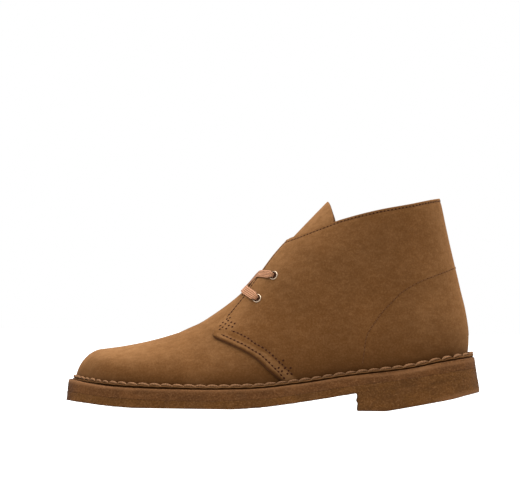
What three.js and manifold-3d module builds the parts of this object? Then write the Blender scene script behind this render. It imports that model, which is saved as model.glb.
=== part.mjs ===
// A left chukka boot: suede upper turned out and stitched down on a crepe sole.
// Millimetres. The working frame has x from the toe to the back of the heel, z up from the floor,
// and the boot's outer side at -y. The exported group is centred over the floor.
import * as THREE from "three";
import { mergeVertices } from "three/addons/utils/BufferGeometryUtils.js";
import Module from "manifold-3d";

const wasm = await Module();
wasm.setup();

// ---- Driving dimensions ----
const SOLE_LENGTH = 300;
const TOE_WALL = 6.2; // where the upper meets the seat at the toe
const HEEL_WALL = 290; // and at the back of the heel, under the quarters
const TOE_WIDTH_CAP = 58; // length of the round toe in plan
const TOE_HEIGHT_CAP = 18.3; // length of the toe's rise from the side
const SHAFT_FRONT_CAP = 58; // length of the shaft's round front in plan
const LEATHER = 2; // one layer of suede
const GAP = 0.3; // between pieces that touch
const FLANGE = { reach: 4.4, thickness: 2.2 };
const SOLE_REACH = 4.9; // the sole's edge beyond the foot of the upper
const MIDSOLE = 8.3;
const OUTSOLE = 6.3;
const HEEL = { breast: 212, flatTo: 234, rise: 0.218 };
const INSOLE = { thickness: 2.5, inset: 2.6 };
const INSTEP_ANGLE = THREE.MathUtils.degToRad(46);
const VAMP_END = 113; // distances along the instep: where the vamp gives way to the tongue
const TONGUE_TIP = 239;
const COLLAR_FRONT_X = 159;
const COLLAR_BACK_Z = 155.5;
const EYELET = { hole: 2.7, barrel: 2.3, bore: 1.8, rim: 3.5, plate: 0.6 };
const LACE = { width: 6, thickness: 1.1, lift: 3.4 };

// ---- The last, section by section ----
// seat: top of the sole; outer, inner: half widths at the seat; shaftOuter, shaftInner: the same
// high on the leg; centre: sideways place of the ridge; round: exponent of the dome.
const LAST = [
  { x: 0, seat: 19.8, outer: 33, inner: 37, shaftOuter: 33, shaftInner: 37, centre: 4.5, round: 2.3 },
  { x: 35, seat: 15.8, outer: 39.5, inner: 43.5, shaftOuter: 39.5, shaftInner: 43, centre: 4.5, round: 2.25 },
  { x: 70, seat: 14.2, outer: 43.5, inner: 47, shaftOuter: 43, shaftInner: 46, centre: 4, round: 2.05 },
  { x: 100, seat: 14.2, outer: 47, inner: 46, shaftOuter: 45, shaftInner: 44, centre: 3, round: 1.75 },
  { x: 135, seat: 16, outer: 44.5, inner: 40.5, shaftOuter: 41, shaftInner: 39, centre: 2, round: 1.65 },
  { x: 170, seat: 20.8, outer: 38, inner: 34, shaftOuter: 34.5, shaftInner: 33, centre: 1, round: 1.7 },
  { x: 205, seat: 26.9, outer: 33.2, inner: 30.7, shaftOuter: 32, shaftInner: 31.5, centre: 0, round: 2 },
  { x: 245, seat: 32.8, outer: 31, inner: 30, shaftOuter: 32.5, shaftInner: 32, centre: 0, round: 2 },
  { x: SOLE_LENGTH, seat: 41.2, outer: 30, inner: 29, shaftOuter: 32, shaftInner: 31.5, centre: 0, round: 2 },
];
// Height of the front line over the toe box, vamp, instep and tongue.
const FRONT_LINE = [
  { x: 0, z: 39.2 },
  { x: 30, z: 43.6 },
  { x: 43, z: 45.8 },
  { x: 72, z: 52.6 },
  { x: 95, z: 61.7 },
  { x: 108, z: 70.4 },
  { x: 125, z: 84 },
  { x: 144, z: 104.5 },
  { x: 165, z: 128 },
  { x: 187, z: 151.6 },
  { x: 260, z: 229 },
];
// The back of the heel and leg, with the length of its round end in plan.
const BACK_LINE = [
  { z: 0, x: HEEL_WALL, cap: 38 },
  { z: 55, x: 289.9, cap: 38 },
  { z: 73, x: 287.4, cap: 39 },
  { z: 90, x: 283.5, cap: 41 },
  { z: 125, x: 274.9, cap: 44 },
  { z: COLLAR_BACK_Z, x: 267.2, cap: 46 },
  { z: 240, x: 247, cap: 48 },
];
// The top edge, seen from the side.
const COLLAR = [
  { x: 120, z: 88 },
  { x: 145, z: 114 },
  { x: COLLAR_FRONT_X, z: 123.5 },
  { x: 180, z: 132.7 },
  { x: 200, z: 140.3 },
  { x: 226, z: 147.3 },
  { x: 269, z: COLLAR_BACK_Z },
  { x: 310, z: 160 },
];
// The quarters' lower front edge, from their corner on the vamp down to the seat.
const QUARTER_CORNER = { x: 106, z: 53.5 };
const QUARTER_EDGE = [
  { x: 120, z: 47.5 },
  { x: 130.2, z: 42.5 },
  { x: 138.6, z: 37.1 },
  { x: 147.1, z: 29.3 },
  { x: 158.2, z: 19.6 },
  { x: 166, z: 10 },
];
// Half the gap between the quarters, by distance along the instep.
const THROAT = [
  { s: 112, half: 33.2 },
  { s: 119.6, half: 28.7 },
  { s: 126.5, half: 24.3 },
  { s: 138, half: 17.8 },
  { s: 147, half: 14.3 },
  { s: 156, half: 12 },
  { s: 174, half: 10.5 },
  { s: 199, half: 8 },
  { s: 262, half: 7 },
];
// Half width of the tongue above the place where it goes under the quarters.
const TONGUE_UNDER = 134;
const TONGUE = [
  { s: 144, half: 25 },
  { s: 225, half: 27 },
  { s: 233, half: 25 },
  { s: 237.4, half: 17 },
  { s: TONGUE_TIP, half: 4 },
];
const EYELETS = [
  { name: "lower", x: 137.8, z: 80.7 },
  { name: "upper", x: 149.6, z: 97.5 },
];

// ---- Curves ----
// Monotone cubic curve through one column of a table.
function curve(rows, from, to) {
  const x = rows.map((row) => row[from]);
  const y = rows.map((row) => row[to]);
  const last = rows.length - 1;
  const slope = (i) => (y[i + 1] - y[i]) / (x[i + 1] - x[i]);
  const tangent = x.map((_, i) => {
    if (i === 0) return slope(0);
    if (i === last) return slope(last - 1);
    const before = slope(i - 1);
    const after = slope(i);
    if (before * after <= 0) return 0;
    return (2 * before * after) / (before + after);
  });
  return (v) => {
    let i = 0;
    while (i < last - 1 && v > x[i + 1]) i++;
    const h = x[i + 1] - x[i];
    const t = (v - x[i]) / h;
    if (t < 0 || t > 1) return t < 0 ? y[0] + tangent[0] * (v - x[0]) : y[last] + tangent[last] * (v - x[last]);
    const a = y[i] * (1 + 2 * t) * (1 - t) ** 2 + tangent[i] * h * t * (1 - t) ** 2;
    const b = y[i + 1] * t * t * (3 - 2 * t) + tangent[i + 1] * h * t * t * (t - 1);
    return a + b;
  };
}

const seat = curve(LAST, "x", "seat");
const outer = curve(LAST, "x", "outer");
const inner = curve(LAST, "x", "inner");
const shaftOuter = curve(LAST, "x", "shaftOuter");
const shaftInner = curve(LAST, "x", "shaftInner");
const centre = curve(LAST, "x", "centre");
const round = curve(LAST, "x", "round");
const frontLine = curve(FRONT_LINE, "x", "z");
const frontX = curve(FRONT_LINE, "z", "x");
const backX = curve(BACK_LINE, "z", "x");
const backCap = curve(BACK_LINE, "z", "cap");
const collar = curve(COLLAR, "x", "z");
const throat = curve(THROAT, "s", "half");

const { lerp, smoothstep, clamp } = THREE.MathUtils;

// Rises from 0 to 1 over a length as a superellipse does, and stays at 1.
function roundEnd(distance, length, exponent) {
  const left = clamp(1 - distance / length, 0, 1);
  return (1 - left ** exponent) ** (1 / exponent);
}

function ridge(x) {
  return seat(x) + (frontLine(x) - seat(x)) * roundEnd(x - TOE_WALL, TOE_HEIGHT_CAP, 2);
}

// Share of the full half width that the form has at a place seen from the side.
function fullness(x, z) {
  const top = Math.max(ridge(x) - seat(x), 1e-3);
  const high = clamp((z - seat(x)) / top, 0, 1);
  const dome = (1 - high ** round(x)) ** (1 / round(x));
  const plan = roundEnd(x - frontX(z), SHAFT_FRONT_CAP, 2);
  const front = lerp(dome, plan, smoothstep(z, 60, 120));
  const toe = roundEnd(x - TOE_WALL, TOE_WIDTH_CAP, 2.2);
  const back = roundEnd(backX(z) - x, backCap(z), 2.2);
  return front * toe * back;
}

// y of the form's surface on one side: -1 is the outer side, 1 the inner.
function sideways(side, x, z) {
  const share = smoothstep(z - seat(x), 0, 80);
  const half =
    side < 0 ? lerp(outer(x), shaftOuter(x), share) + centre(x) : lerp(inner(x), shaftInner(x), share) - centre(x);
  return centre(x) + side * half * fullness(x, z);
}

// ---- Rings round the form ----
// A ring runs from the front line round the outer side to the back and home. Its level is 0 at the
// seat and 1 at the collar.
const COLUMNS = 64;
const LEVELS = [
  0, 0.04, 0.09, 0.145, 0.205, 0.27, 0.335, 0.4, 0.465, 0.53, 0.58, 0.63, 0.68, 0.75, 0.83, 0.91, 0.99, 1.07, 1.15,
  1.25,
];
const FRONT_STEPS = 400;
const frontPath = new THREE.CurvePath();
for (let i = 0; i < FRONT_STEPS; i++) {
  const at = (k) => {
    const x = TOE_WALL + 220 * (k / FRONT_STEPS) ** 2;
    return new THREE.Vector2(x, ridge(x));
  };
  frontPath.add(new THREE.LineCurve(at(i), at(i + 1)));
}
const pathLengths = frontPath.getCurveLengths();
const pathTo = (x) => pathLengths[Math.ceil(FRONT_STEPS * Math.sqrt((x - TOE_WALL) / 220)) - 1];
const COLLAR_RUN = pathTo(COLLAR_FRONT_X);

function frontPoint(level) {
  const { x } = frontPath.getPoint(clamp((level * COLLAR_RUN) / pathLengths.at(-1), 0, 1));
  return new THREE.Vector2(x, ridge(x));
}

function ringPoint(turn, level) {
  const front = frontPoint(level);
  const backZ = lerp(seat(HEEL_WALL), COLLAR_BACK_Z, level);
  const back = new THREE.Vector2(backX(backZ), backZ);
  const x = lerp(front.x, back.x, (1 - Math.cos(turn)) / 2);
  const height = (along, frontAt, backAt) =>
    lerp(frontAt.y - seat(frontAt.x), backAt.y - seat(backAt.x), (along - frontAt.x) / (backAt.x - frontAt.x));
  const z = seat(x) + height(x, front, back);
  return new THREE.Vector3(x, sideways(turn < Math.PI ? -1 : 1, x, z), z);
}

function ringNormal(turn, level) {
  const step = 0.01;
  const along = ringPoint(turn + step, level).sub(ringPoint((turn - step + 2 * Math.PI) % (2 * Math.PI), level));
  const up = ringPoint(turn, level + step).sub(ringPoint(turn, Math.max(level - step, 0)));
  return along.cross(up).normalize();
}

const turns = Array.from({ length: COLUMNS }, (_, i) => (2 * Math.PI * i) / COLUMNS);

// The foot line of the upper, moved sideways by reach, and by a layer more where the quarters are,
// and down square to the seat by depth.
function footRing(reach, depth, quartersFrom = 130) {
  const plan = turns.map((turn) => ringPoint(turn, 0));
  return plan.map((p, i) => {
    const before = plan[(i + COLUMNS - 1) % COLUMNS];
    const after = plan[(i + 1) % COLUMNS];
    const out = new THREE.Vector2(before.y - after.y, after.x - before.x).normalize();
    out.multiplyScalar(-reach - LEATHER * smoothstep(p.x, quartersFrom, quartersFrom + 45));
    const x = p.x + out.x;
    const slope = Math.atan(seat(x + 0.5) - seat(x - 0.5));
    return new THREE.Vector3(x + depth * Math.sin(slope), p.y + out.y, seat(x) - depth * Math.cos(slope));
  });
}

// ---- Solids ----
// A closed mesh from rings of equal count; the first and last are closed across, from side to side.
function stack(rings) {
  const count = rings[0].length;
  const points = rings.flat();
  const faces = [];
  for (let r = 0; r + 1 < rings.length; r++)
    for (let i = 0; i < count; i++) {
      const j = (i + 1) % count;
      const [a, b] = [r * count + i, r * count + j];
      faces.push(a, a + count, b, b, a + count, b + count);
    }
  const lid = (row, up) => {
    for (let i = 0; i < count / 2; i++) {
      const [a, b, c, d] = [i, i + 1, (count - i) % count, count - i - 1].map((k) => row * count + k);
      const pair = [a, b, c, b, d, c];
      if (a === c) pair.splice(0, 3, ...[]);
      if (b === d) pair.splice(pair.length - 3, 3);
      faces.push(...(up ? pair.reverse() : pair));
    }
  };
  lid(0, false);
  lid(rings.length - 1, true);
  return solid(points, faces);
}

// A closed band: each ring is joined to the next, and the last to the first.
function band(rings) {
  const count = rings[0].length;
  const faces = [];
  rings.forEach((_, r) => {
    const next = (r + 1) % rings.length;
    for (let i = 0; i < count; i++) {
      const j = (i + 1) % count;
      faces.push(r * count + i, next * count + i, r * count + j, r * count + j, next * count + i, next * count + j);
    }
  });
  return solid(rings.flat(), faces);
}

function solid(points, faces) {
  const made = new wasm.Manifold(
    new wasm.Mesh({
      numProp: 3,
      vertProperties: new Float32Array(points.flatMap((p) => p.toArray())),
      triVerts: new Uint32Array(faces),
    }),
  );
  if (made.volume() > 0) return made;
  const turned = [];
  for (let i = 0; i < faces.length; i += 3) turned.push(faces[i], faces[i + 2], faces[i + 1]);
  return solid(points, turned);
}

function solidOf(geometry) {
  geometry.deleteAttribute("normal");
  geometry.deleteAttribute("uv");
  const merged = mergeVertices(geometry, 1e-4);
  return new wasm.Manifold(
    new wasm.Mesh({
      numProp: 3,
      vertProperties: merged.attributes.position.array,
      triVerts: new Uint32Array(merged.index.array),
    }),
  );
}

// A prism through the whole boot from an outline seen from the side.
function sidePrism(outline) {
  const shape = new THREE.Shape(outline.map((p) => new THREE.Vector2(p.x, p.z)));
  const geometry = new THREE.ExtrudeGeometry(shape, { depth: 200, bevelEnabled: false });
  return solidOf(geometry.rotateX(Math.PI / 2).translate(0, 100, 0));
}

// A prism square to the instep from half widths by distance along it, between two depths.
function instepPrism(rows, above, below) {
  const edge = (sign) => rows.map(({ s, half }) => new THREE.Vector2(s, onInstep(1, s, 0).place.y + sign * half));
  const shape = new THREE.Shape([...edge(1), ...edge(-1).reverse()]);
  const geometry = new THREE.ExtrudeGeometry(shape, { depth: above + below, bevelEnabled: false });
  geometry.translate(0, 0, -below);
  const along = new THREE.Vector3(Math.cos(INSTEP_ANGLE), 0, Math.sin(INSTEP_ANGLE));
  const up = new THREE.Vector3(-Math.sin(INSTEP_ANGLE), 0, Math.cos(INSTEP_ANGLE));
  const frame = new THREE.Matrix4().makeBasis(along, new THREE.Vector3(0, 1, 0), up);
  const onLine = new THREE.Vector3(144, 0, frontLine(144));
  const rise = onLine.dot(up);
  return solidOf(geometry.applyMatrix4(frame).translate(up.x * rise, 0, up.z * rise));
}

// The form grown by an amount that may change from place to place.
function form(grow, foot) {
  const rings = LEVELS.map((level, k) =>
    turns.map((turn) => {
      const p = ringPoint(turn, level);
      const n = ringNormal(turn, level);
      if (k === 0) n.setZ(0).normalize();
      return p.addScaledVector(n, grow(p));
    }),
  );
  const lowest = rings[0].map((p) => new THREE.Vector3(p.x, p.y, seat(p.x) + foot));
  rings[0].forEach((p) => p.setZ(Math.max(seat(p.x) + foot + 1, p.z)));
  return stack([lowest, ...rings]);
}

// Outward direction of the form's surface at a place seen from the side.
function facing(side, x, z) {
  const step = 0.05;
  const dx = (sideways(side, x + step, z) - sideways(side, x - step, z)) / (2 * step);
  const dz = (sideways(side, x, z + step) - sideways(side, x, z - step)) / (2 * step);
  return new THREE.Vector3(-dx, 1, -dz).multiplyScalar(side).normalize();
}

// A place on the form and its outward direction, found from where the quarters' face above it is
// seen from the side.
function onQuarter(side, x, z) {
  const at = new THREE.Vector2(x, z);
  let face = facing(side, x, z);
  for (let i = 0; i < 5; i++) {
    at.set(x - face.x * LEATHER, z - face.z * LEATHER);
    face = facing(side, at.x, at.y);
  }
  return { place: new THREE.Vector3(at.x, sideways(side, at.x, at.y), at.y), face };
}

// Distance along the instep of a place seen from the side.
function alongInstep(p) {
  return p.x * Math.cos(INSTEP_ANGLE) + p.z * Math.sin(INSTEP_ANGLE);
}

// A place on the form by distance along the instep and depth below the ridge, square to it.
function onInstep(side, s, depth) {
  let x = 90;
  while (alongInstep({ x, z: ridge(x) }) < s) x += 0.02;
  const top = new THREE.Vector3(x, centre(x), ridge(x));
  if (depth < 0.01) return { place: top, face: new THREE.Vector3(-Math.sin(INSTEP_ANGLE), 0, Math.cos(INSTEP_ANGLE)) };
  const at = new THREE.Vector2(x + depth * Math.sin(INSTEP_ANGLE), ridge(x) - depth * Math.cos(INSTEP_ANGLE));
  return { place: new THREE.Vector3(at.x, sideways(side, at.x, at.y), at.y), face: facing(side, at.x, at.y) };
}

// ---- Pieces ----
function makeUpper() {
  const base = form(() => 0, GAP);
  const far = new THREE.Vector2(-Math.sin(INSTEP_ANGLE), Math.cos(INSTEP_ANGLE)).multiplyScalar(90);
  const quarterSide = sidePrism([
    { x: QUARTER_CORNER.x + far.x, z: QUARTER_CORNER.z + far.y },
    QUARTER_CORNER,
    ...QUARTER_EDGE,
    { x: 340, z: 5 },
    { x: 340, z: 260 },
    { x: 120, z: 260 },
  ]);
  const quarters = form(() => LEATHER, GAP).intersect(quarterSide).subtract(instepPrism(THROAT, 40, 60));
  const flange = band([
    footRing(-LEATHER / 2, -GAP),
    footRing(FLANGE.reach, -GAP),
    footRing(FLANGE.reach, -GAP - FLANGE.thickness),
    footRing(-LEATHER / 2, -GAP - FLANGE.thickness),
  ]);
  // The vamp's layer thins out behind the quarters' lower edge, where the quarters take over.
  const hollow = form((p) => -LEATHER * (1 - smoothstep(0.545 * p.x + 0.838 * p.z, 107, 115)), -5);
  const opening = [{ s: VAMP_END, half: throat(VAMP_END) }, ...THROAT.filter((row) => row.s > VAMP_END)];
  const above = sidePrism([
    ...COLLAR,
    { x: 340, z: 260 },
    { x: 60, z: 260 },
    { x: 60, z: 120 },
  ]);
  let upper = base.add(quarters).add(flange).subtract(hollow).subtract(above);
  upper = upper.subtract(instepPrism(opening, 40, 26));
  eachEyelet((side, { x, z }) => {
    const { place, face } = onQuarter(side, x, z);
    const hole = new THREE.CylinderGeometry(EYELET.hole, EYELET.hole, 4 * LEATHER, 16);
    upper = upper.subtract(solidOf(placed(hole, place, face)));
  });
  return upper;
}

function makeTongue() {
  const sheet = form(() => -GAP - 0.1, GAP).subtract(form(() => -GAP - 0.1 - LEATHER, 0));
  const start = VAMP_END + GAP + 0.1;
  const rows = [start, 119.6, 126.5, TONGUE_UNDER].map((s) => ({ s, half: throat(s) - 2 * GAP }));
  return sheet.intersect(instepPrism([...rows, ...TONGUE], 30, 26));
}

function eachEyelet(action) {
  for (const side of [-1, 1]) for (const row of EYELETS) action(side, row);
}

// A geometry made round +Y, moved so that +Y is the direction given.
function placed(geometry, place, direction) {
  const turn = new THREE.Quaternion().setFromUnitVectors(new THREE.Vector3(0, 1, 0), direction);
  return geometry.applyQuaternion(turn).translate(place.x, place.y, place.z);
}

function makeEyelet() {
  const { bore, barrel, rim, plate } = EYELET;
  const foot = -LEATHER + GAP;
  const profile = [
    [bore, foot],
    [barrel, foot],
    [barrel, GAP],
    [rim, GAP],
    [rim - 0.3, GAP + plate],
    [bore, GAP + plate],
    [bore, foot],
  ].map(([r, y]) => new THREE.Vector2(r, y));
  return new THREE.LatheGeometry(profile, 16);
}

// A flat band along a list of places, each with the direction of its face.
function ribbon(stops) {
  const path = new THREE.CatmullRomCurve3(stops.map((stop) => stop.place), false, "centripetal");
  const steps = 4 * (stops.length - 1);
  const rings = [];
  for (let i = 0; i <= steps; i++) {
    const u = i / steps;
    const k = Math.min(Math.floor(u * (stops.length - 1)), stops.length - 2);
    const share = u * (stops.length - 1) - k;
    const face = stops[k].face.clone().lerp(stops[k + 1].face, share).normalize();
    const across = path.getTangent(u).cross(face).normalize().multiplyScalar(LACE.width / 2);
    const rise = face.multiplyScalar(LACE.thickness);
    const p = path.getPoint(u);
    rings.push([
      p.clone().sub(across),
      p.clone().sub(across).add(rise),
      p.clone().add(across).add(rise),
      p.clone().add(across),
    ]);
  }
  return stack(rings);
}

// The lace: a bar between the lower eyelets, and a run from each upper eyelet down to its middle.
function makeLace() {
  const depthOf = ({ place }) => {
    const { place: top } = onInstep(1, alongInstep(place), 0);
    return Math.hypot(place.x - top.x, place.z - top.z);
  };
  const run = (side, from, to, shares) =>
    shares.map((t) => {
      const { place, face } = onInstep(side, lerp(from.s, to.s, t), lerp(from.depth, to.depth, t));
      return { place: place.addScaledVector(face, LACE.lift), face };
    });
  const eyelet = (side, { x, z }) => {
    const at = onQuarter(side, x, z);
    return { s: alongInstep(at.place), depth: depthOf(at) };
  };
  const [low, high] = EYELETS;
  const middle = { s: alongInstep(onQuarter(-1, low.x, low.z).place), depth: 0 };
  const half = (side) => run(side, eyelet(side, low), middle, [0, 0.35, 0.65, 0.88]);
  const bar = ribbon([...half(-1), ...run(1, middle, middle, [0]), ...half(1).reverse()]);
  const runs = [-1, 1].map((side) => {
    const meeting = { s: middle.s + 3, depth: 0.6 };
    return ribbon(run(side, eyelet(side, high), meeting, [0, 0.3, 0.55, 0.8, 1]));
  });
  return bar.add(runs[0]).add(runs[1]);
}

function makeHeel() {
  const block = stack([footRing(SOLE_REACH, 60), footRing(SOLE_REACH, MIDSOLE + OUTSOLE + GAP)]);
  const { breast, flatTo, rise } = HEEL;
  const end = 330;
  const tread = [0, 6, 14, 26, 44].map((d) => ({ x: flatTo + d, z: (rise * d * d) / (d + 5) }));
  const profile = [{ x: breast, z: 0 }, ...tread, { x: end, z: rise * (end - flatTo - 5) }];
  return block.intersect(sidePrism([...profile, { x: end, z: 60 }, { x: breast, z: 60 }]));
}

const aboveFloor = sidePrism([
  { x: -20, z: 0 },
  { x: 340, z: 0 },
  { x: 340, z: 90 },
  { x: -20, z: 90 },
]);

function sheet(top, bottom, reach, quartersFrom) {
  return stack([footRing(reach, bottom, quartersFrom), footRing(reach, top, quartersFrom)]);
}

// ---- Materials and assembly ----
const suede = new THREE.MeshStandardMaterial({ color: 0x7d5430, roughness: 0.95, metalness: 0 });
const crepe = new THREE.MeshStandardMaterial({ color: 0x6f4527, roughness: 0.85, metalness: 0 });
const board = new THREE.MeshStandardMaterial({ color: 0xa98255, roughness: 0.8, metalness: 0 });
const cotton = new THREE.MeshStandardMaterial({ color: 0xb4815a, roughness: 0.8, metalness: 0 });
const brass = new THREE.MeshStandardMaterial({ color: 0xa98a62, roughness: 0.4, metalness: 1 });

const boot = new THREE.Group();

function addSolid(name, piece, material) {
  const { numProp, numVert, vertProperties, triVerts } = piece.getMesh();
  const position = new Float32Array(3 * numVert);
  for (let i = 0; i < numVert; i++) position.set(vertProperties.subarray(i * numProp, i * numProp + 3), 3 * i);
  const geometry = new THREE.BufferGeometry();
  geometry.setAttribute("position", new THREE.BufferAttribute(position, 3));
  geometry.setIndex(new THREE.BufferAttribute(new Uint32Array(triVerts), 1));
  geometry.computeVertexNormals();
  const mesh = new THREE.Mesh(geometry, material);
  mesh.name = name;
  boot.add(mesh);
}

addSolid("upper", makeUpper(), suede);
addSolid("tongue", makeTongue(), suede);
addSolid("insole", sheet(-GAP - INSOLE.thickness, -GAP, -INSOLE.inset, 185), board);
addSolid("midsole", sheet(0, MIDSOLE, SOLE_REACH), crepe);
addSolid("outsole", sheet(MIDSOLE + GAP, MIDSOLE + OUTSOLE, SOLE_REACH).intersect(aboveFloor), crepe);
addSolid("heel", makeHeel(), crepe);
addSolid("lace", makeLace(), cotton);

eachEyelet((side, { name, x, z }) => {
  const { place, face } = onQuarter(side, x, z);
  const mesh = new THREE.Mesh(makeEyelet(), brass);
  mesh.name = `eyelet_${name}_${side < 0 ? "outer" : "inner"}`;
  mesh.position.copy(place.addScaledVector(face, LEATHER));
  mesh.quaternion.setFromUnitVectors(new THREE.Vector3(0, 1, 0), face);
  boot.add(mesh);
});

const middle = new THREE.Box3().setFromObject(boot).getCenter(new THREE.Vector3());
boot.position.set(-middle.x, -middle.y, 0);

export default boot;
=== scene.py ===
"""A left chukka boot: suede vamp, quarters and tongue, crepe sole and heel, eyelets, lace and stitching."""

import math

import bpy
import numpy as np
from mathutils.bvhtree import BVHTree
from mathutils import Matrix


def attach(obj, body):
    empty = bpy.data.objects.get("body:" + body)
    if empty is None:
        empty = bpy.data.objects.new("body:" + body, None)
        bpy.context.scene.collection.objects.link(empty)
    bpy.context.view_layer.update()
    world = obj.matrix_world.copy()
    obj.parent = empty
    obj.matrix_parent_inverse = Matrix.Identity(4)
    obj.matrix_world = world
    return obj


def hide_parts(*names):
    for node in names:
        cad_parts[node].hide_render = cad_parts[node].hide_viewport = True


bl_info = {
    "name": "Chukka boot",
    "version": (1, 0, 0),
    "blender": (4, 5, 0),
    "location": "View3D > Sidebar > Boot",
    "description": "Builds a suede chukka boot on a crepe sole, piece by piece",
    "category": "Add Mesh",
}

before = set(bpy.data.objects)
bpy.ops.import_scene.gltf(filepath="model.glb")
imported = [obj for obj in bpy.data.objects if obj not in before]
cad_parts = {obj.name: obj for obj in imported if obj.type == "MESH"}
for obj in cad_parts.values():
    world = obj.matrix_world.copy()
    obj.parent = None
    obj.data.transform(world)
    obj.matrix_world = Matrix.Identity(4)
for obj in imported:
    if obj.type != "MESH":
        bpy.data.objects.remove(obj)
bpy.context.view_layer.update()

# ---------------------------------------------------------------------------
# The last. Millimetres: x runs from the toe to the back of the heel, y to the
# boot's inner side, z up from the floor.
# ---------------------------------------------------------------------------
MM = 0.001
SIDES = (-1.0, 1.0)  # the outer side and the inner side
MIDDLE = np.array([150.294, 0.069, 0.0])  # the model's origin in the last's own frame
TOE_WALL = 6.2
HEEL_WALL = 290.0
TOE_WIDTH_CAP = 58.0
TOE_HEIGHT_CAP = 18.3
SHAFT_FRONT_CAP = 58.0
INSTEP_ANGLE = math.radians(46)
COLLAR_BACK_Z = 155.5
FRONT_RUN = 220.0
FRONT_STEPS = 400
COLLAR_STEP = 334
FINE_STEPS = 4001  # places round the foot where a line along it is measured
PLAN_MIDDLE = np.array([150.0, 1.0])
QUARTER_LAYER = 2.0  # what the outlines of the sole and collar allow for the quarters' suede
VAMP_END = 113.0
TONGUE_END = 240.1
LACE_RIBS = 5
LACE_STEP = 0.35

LAST = {
    "x": (0, 35, 70, 100, 135, 170, 205, 245, 300),
    "bed": (19.8, 15.8, 14.2, 14.2, 16, 20.8, 26.9, 32.8, 41.2),
    "outer": (33, 39.5, 43.5, 47, 44.5, 38, 33.2, 31, 30),
    "inner": (37, 43.5, 47, 46, 40.5, 34, 30.7, 30, 29),
    "shaft_outer": (33, 39.5, 43, 45, 41, 34.5, 32, 32.5, 32),
    "shaft_inner": (37, 43, 46, 44, 39, 33, 31.5, 32, 31.5),
    "centre": (4.5, 4.5, 4, 3, 2, 1, 0, 0, 0),
    "round": (2.3, 2.25, 2.05, 1.75, 1.65, 1.7, 2, 2, 2),
}
# Where the flange lies on the sole. The sole's underside follows the bed, one sole's depth below it.
SEAT = {
    "x": (0, 35, 70, 100, 135, 170, 205, 245, 256, 270, 300),
    "z": (19.8, 15.4, 14.2, 14.1, 15.2, 19.4, 25.2, 30.5, 32.5, 35.7, 40.9),
}
SOLE_DEPTH = 14.9
FRONT_LINE = {
    "x": (0, 30, 43, 72, 95, 108, 125, 144, 165, 187, 260),
    "z": (39.2, 43.2, 45.2, 52.1, 61.6, 70.0, 83.5, 104.5, 128, 151.6, 229),
}
BACK_LINE = {
    "z": (0, 55, 73, 90, 125, COLLAR_BACK_Z, 240),
    "x": (HEEL_WALL, 289.9, 287.4, 283.5, 274.9, 267.9, 248),
    "cap": (38, 38, 39, 41, 44, 46, 48),
}
COLLAR = {
    "x": (120, 145, 159, 180, 200, 226, 247, 269, 310),
    "z": (88, 114, 123.5, 132.7, 140.1, 147.0, 151.0, COLLAR_BACK_Z, 160),
}
# The quarters' lower front edge, from the seat up to their corner on the vamp.
QUARTER_EDGE = {
    "x": (166, 158.2, 147.1, 138.6, 130.2, 120, 106),
    "z": (10, 19.6, 29.3, 37.1, 42.5, 47.5, 53.5),
}
# Half the gap between the quarters, by distance along the instep.
THROAT = {
    "s": (112, 116, 119, 122, 128, 134, 140, 146, 153, 160, 174, 199, 262),
    "half": (31.8, 28.2, 25.8, 24.3, 21.9, 19.6, 17.6, 16.0, 14.0, 12.4, 10.5, 8, 7),
}
TONGUE = {
    "s": (100, 113.4, 119.6, 126.5, 134, 144, 222, 231, 234.5, 238, 239.6, 240.2),
    "half": (30, 31.2, 28.2, 25, 23, 25, 26.4, 25, 22.5, 16, 10, 2),
}
EYELETS = ((137.8, 80.7), (149.6, 97.5))
# Rows of stitching seen from the side.
LOWER_ROWS = (
    {
        "x": (111.4, 117.0, 122.8, 128.6, 134.8, 140.9, 145.6, 151.5, 155.2, 158.2),
        "z": (54.7, 52.3, 49.8, 47.1, 43.5, 40.0, 35.9, 30.2, 26.4, 23.2),
    },
    {
        "x": (118.6, 124.8, 130.6, 136.6, 142.5, 148.1, 152.6, 157.5, 161.2, 163.6),
        "z": (57.5, 55.2, 52.3, 48.3, 45.1, 41.0, 36.8, 32.6, 28.9, 26.3),
    },
)
# Single needle holes of the reinforcing stitches at either end of the quarters' lower edges.
CORNER_HOLES = (
    (117.0, 64.3), (115.0, 61.9), (113.1, 59.5), (111.0, 57.9), (119.3, 63.2), (117.5, 60.8), (115.7, 58.5),
    (121.7, 62.3), (120.1, 59.9), (118.3, 66.4), (116.0, 65.4), (113.2, 62.9), (111.2, 60.5),
    (154.8, 34.4), (157.4, 36.0), (154.2, 30.6), (158.6, 30.4), (156.6, 28.2), (160.6, 26.4), (162.8, 30.6),
)
COUNTER_ROW = {
    "x": (214.9, 216.2, 216.8, 218, 220.9, 224.6, 228.9, 236.1, 242.2, 250.2, 257.6, 267.9, 279.8, 283),
    "z": (33.5, 43.7, 49.9, 54.7, 60.6, 65.9, 72, 79.7, 86, 91.4, 95.2, 99.3, 104.1, 105.6),
}
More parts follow.
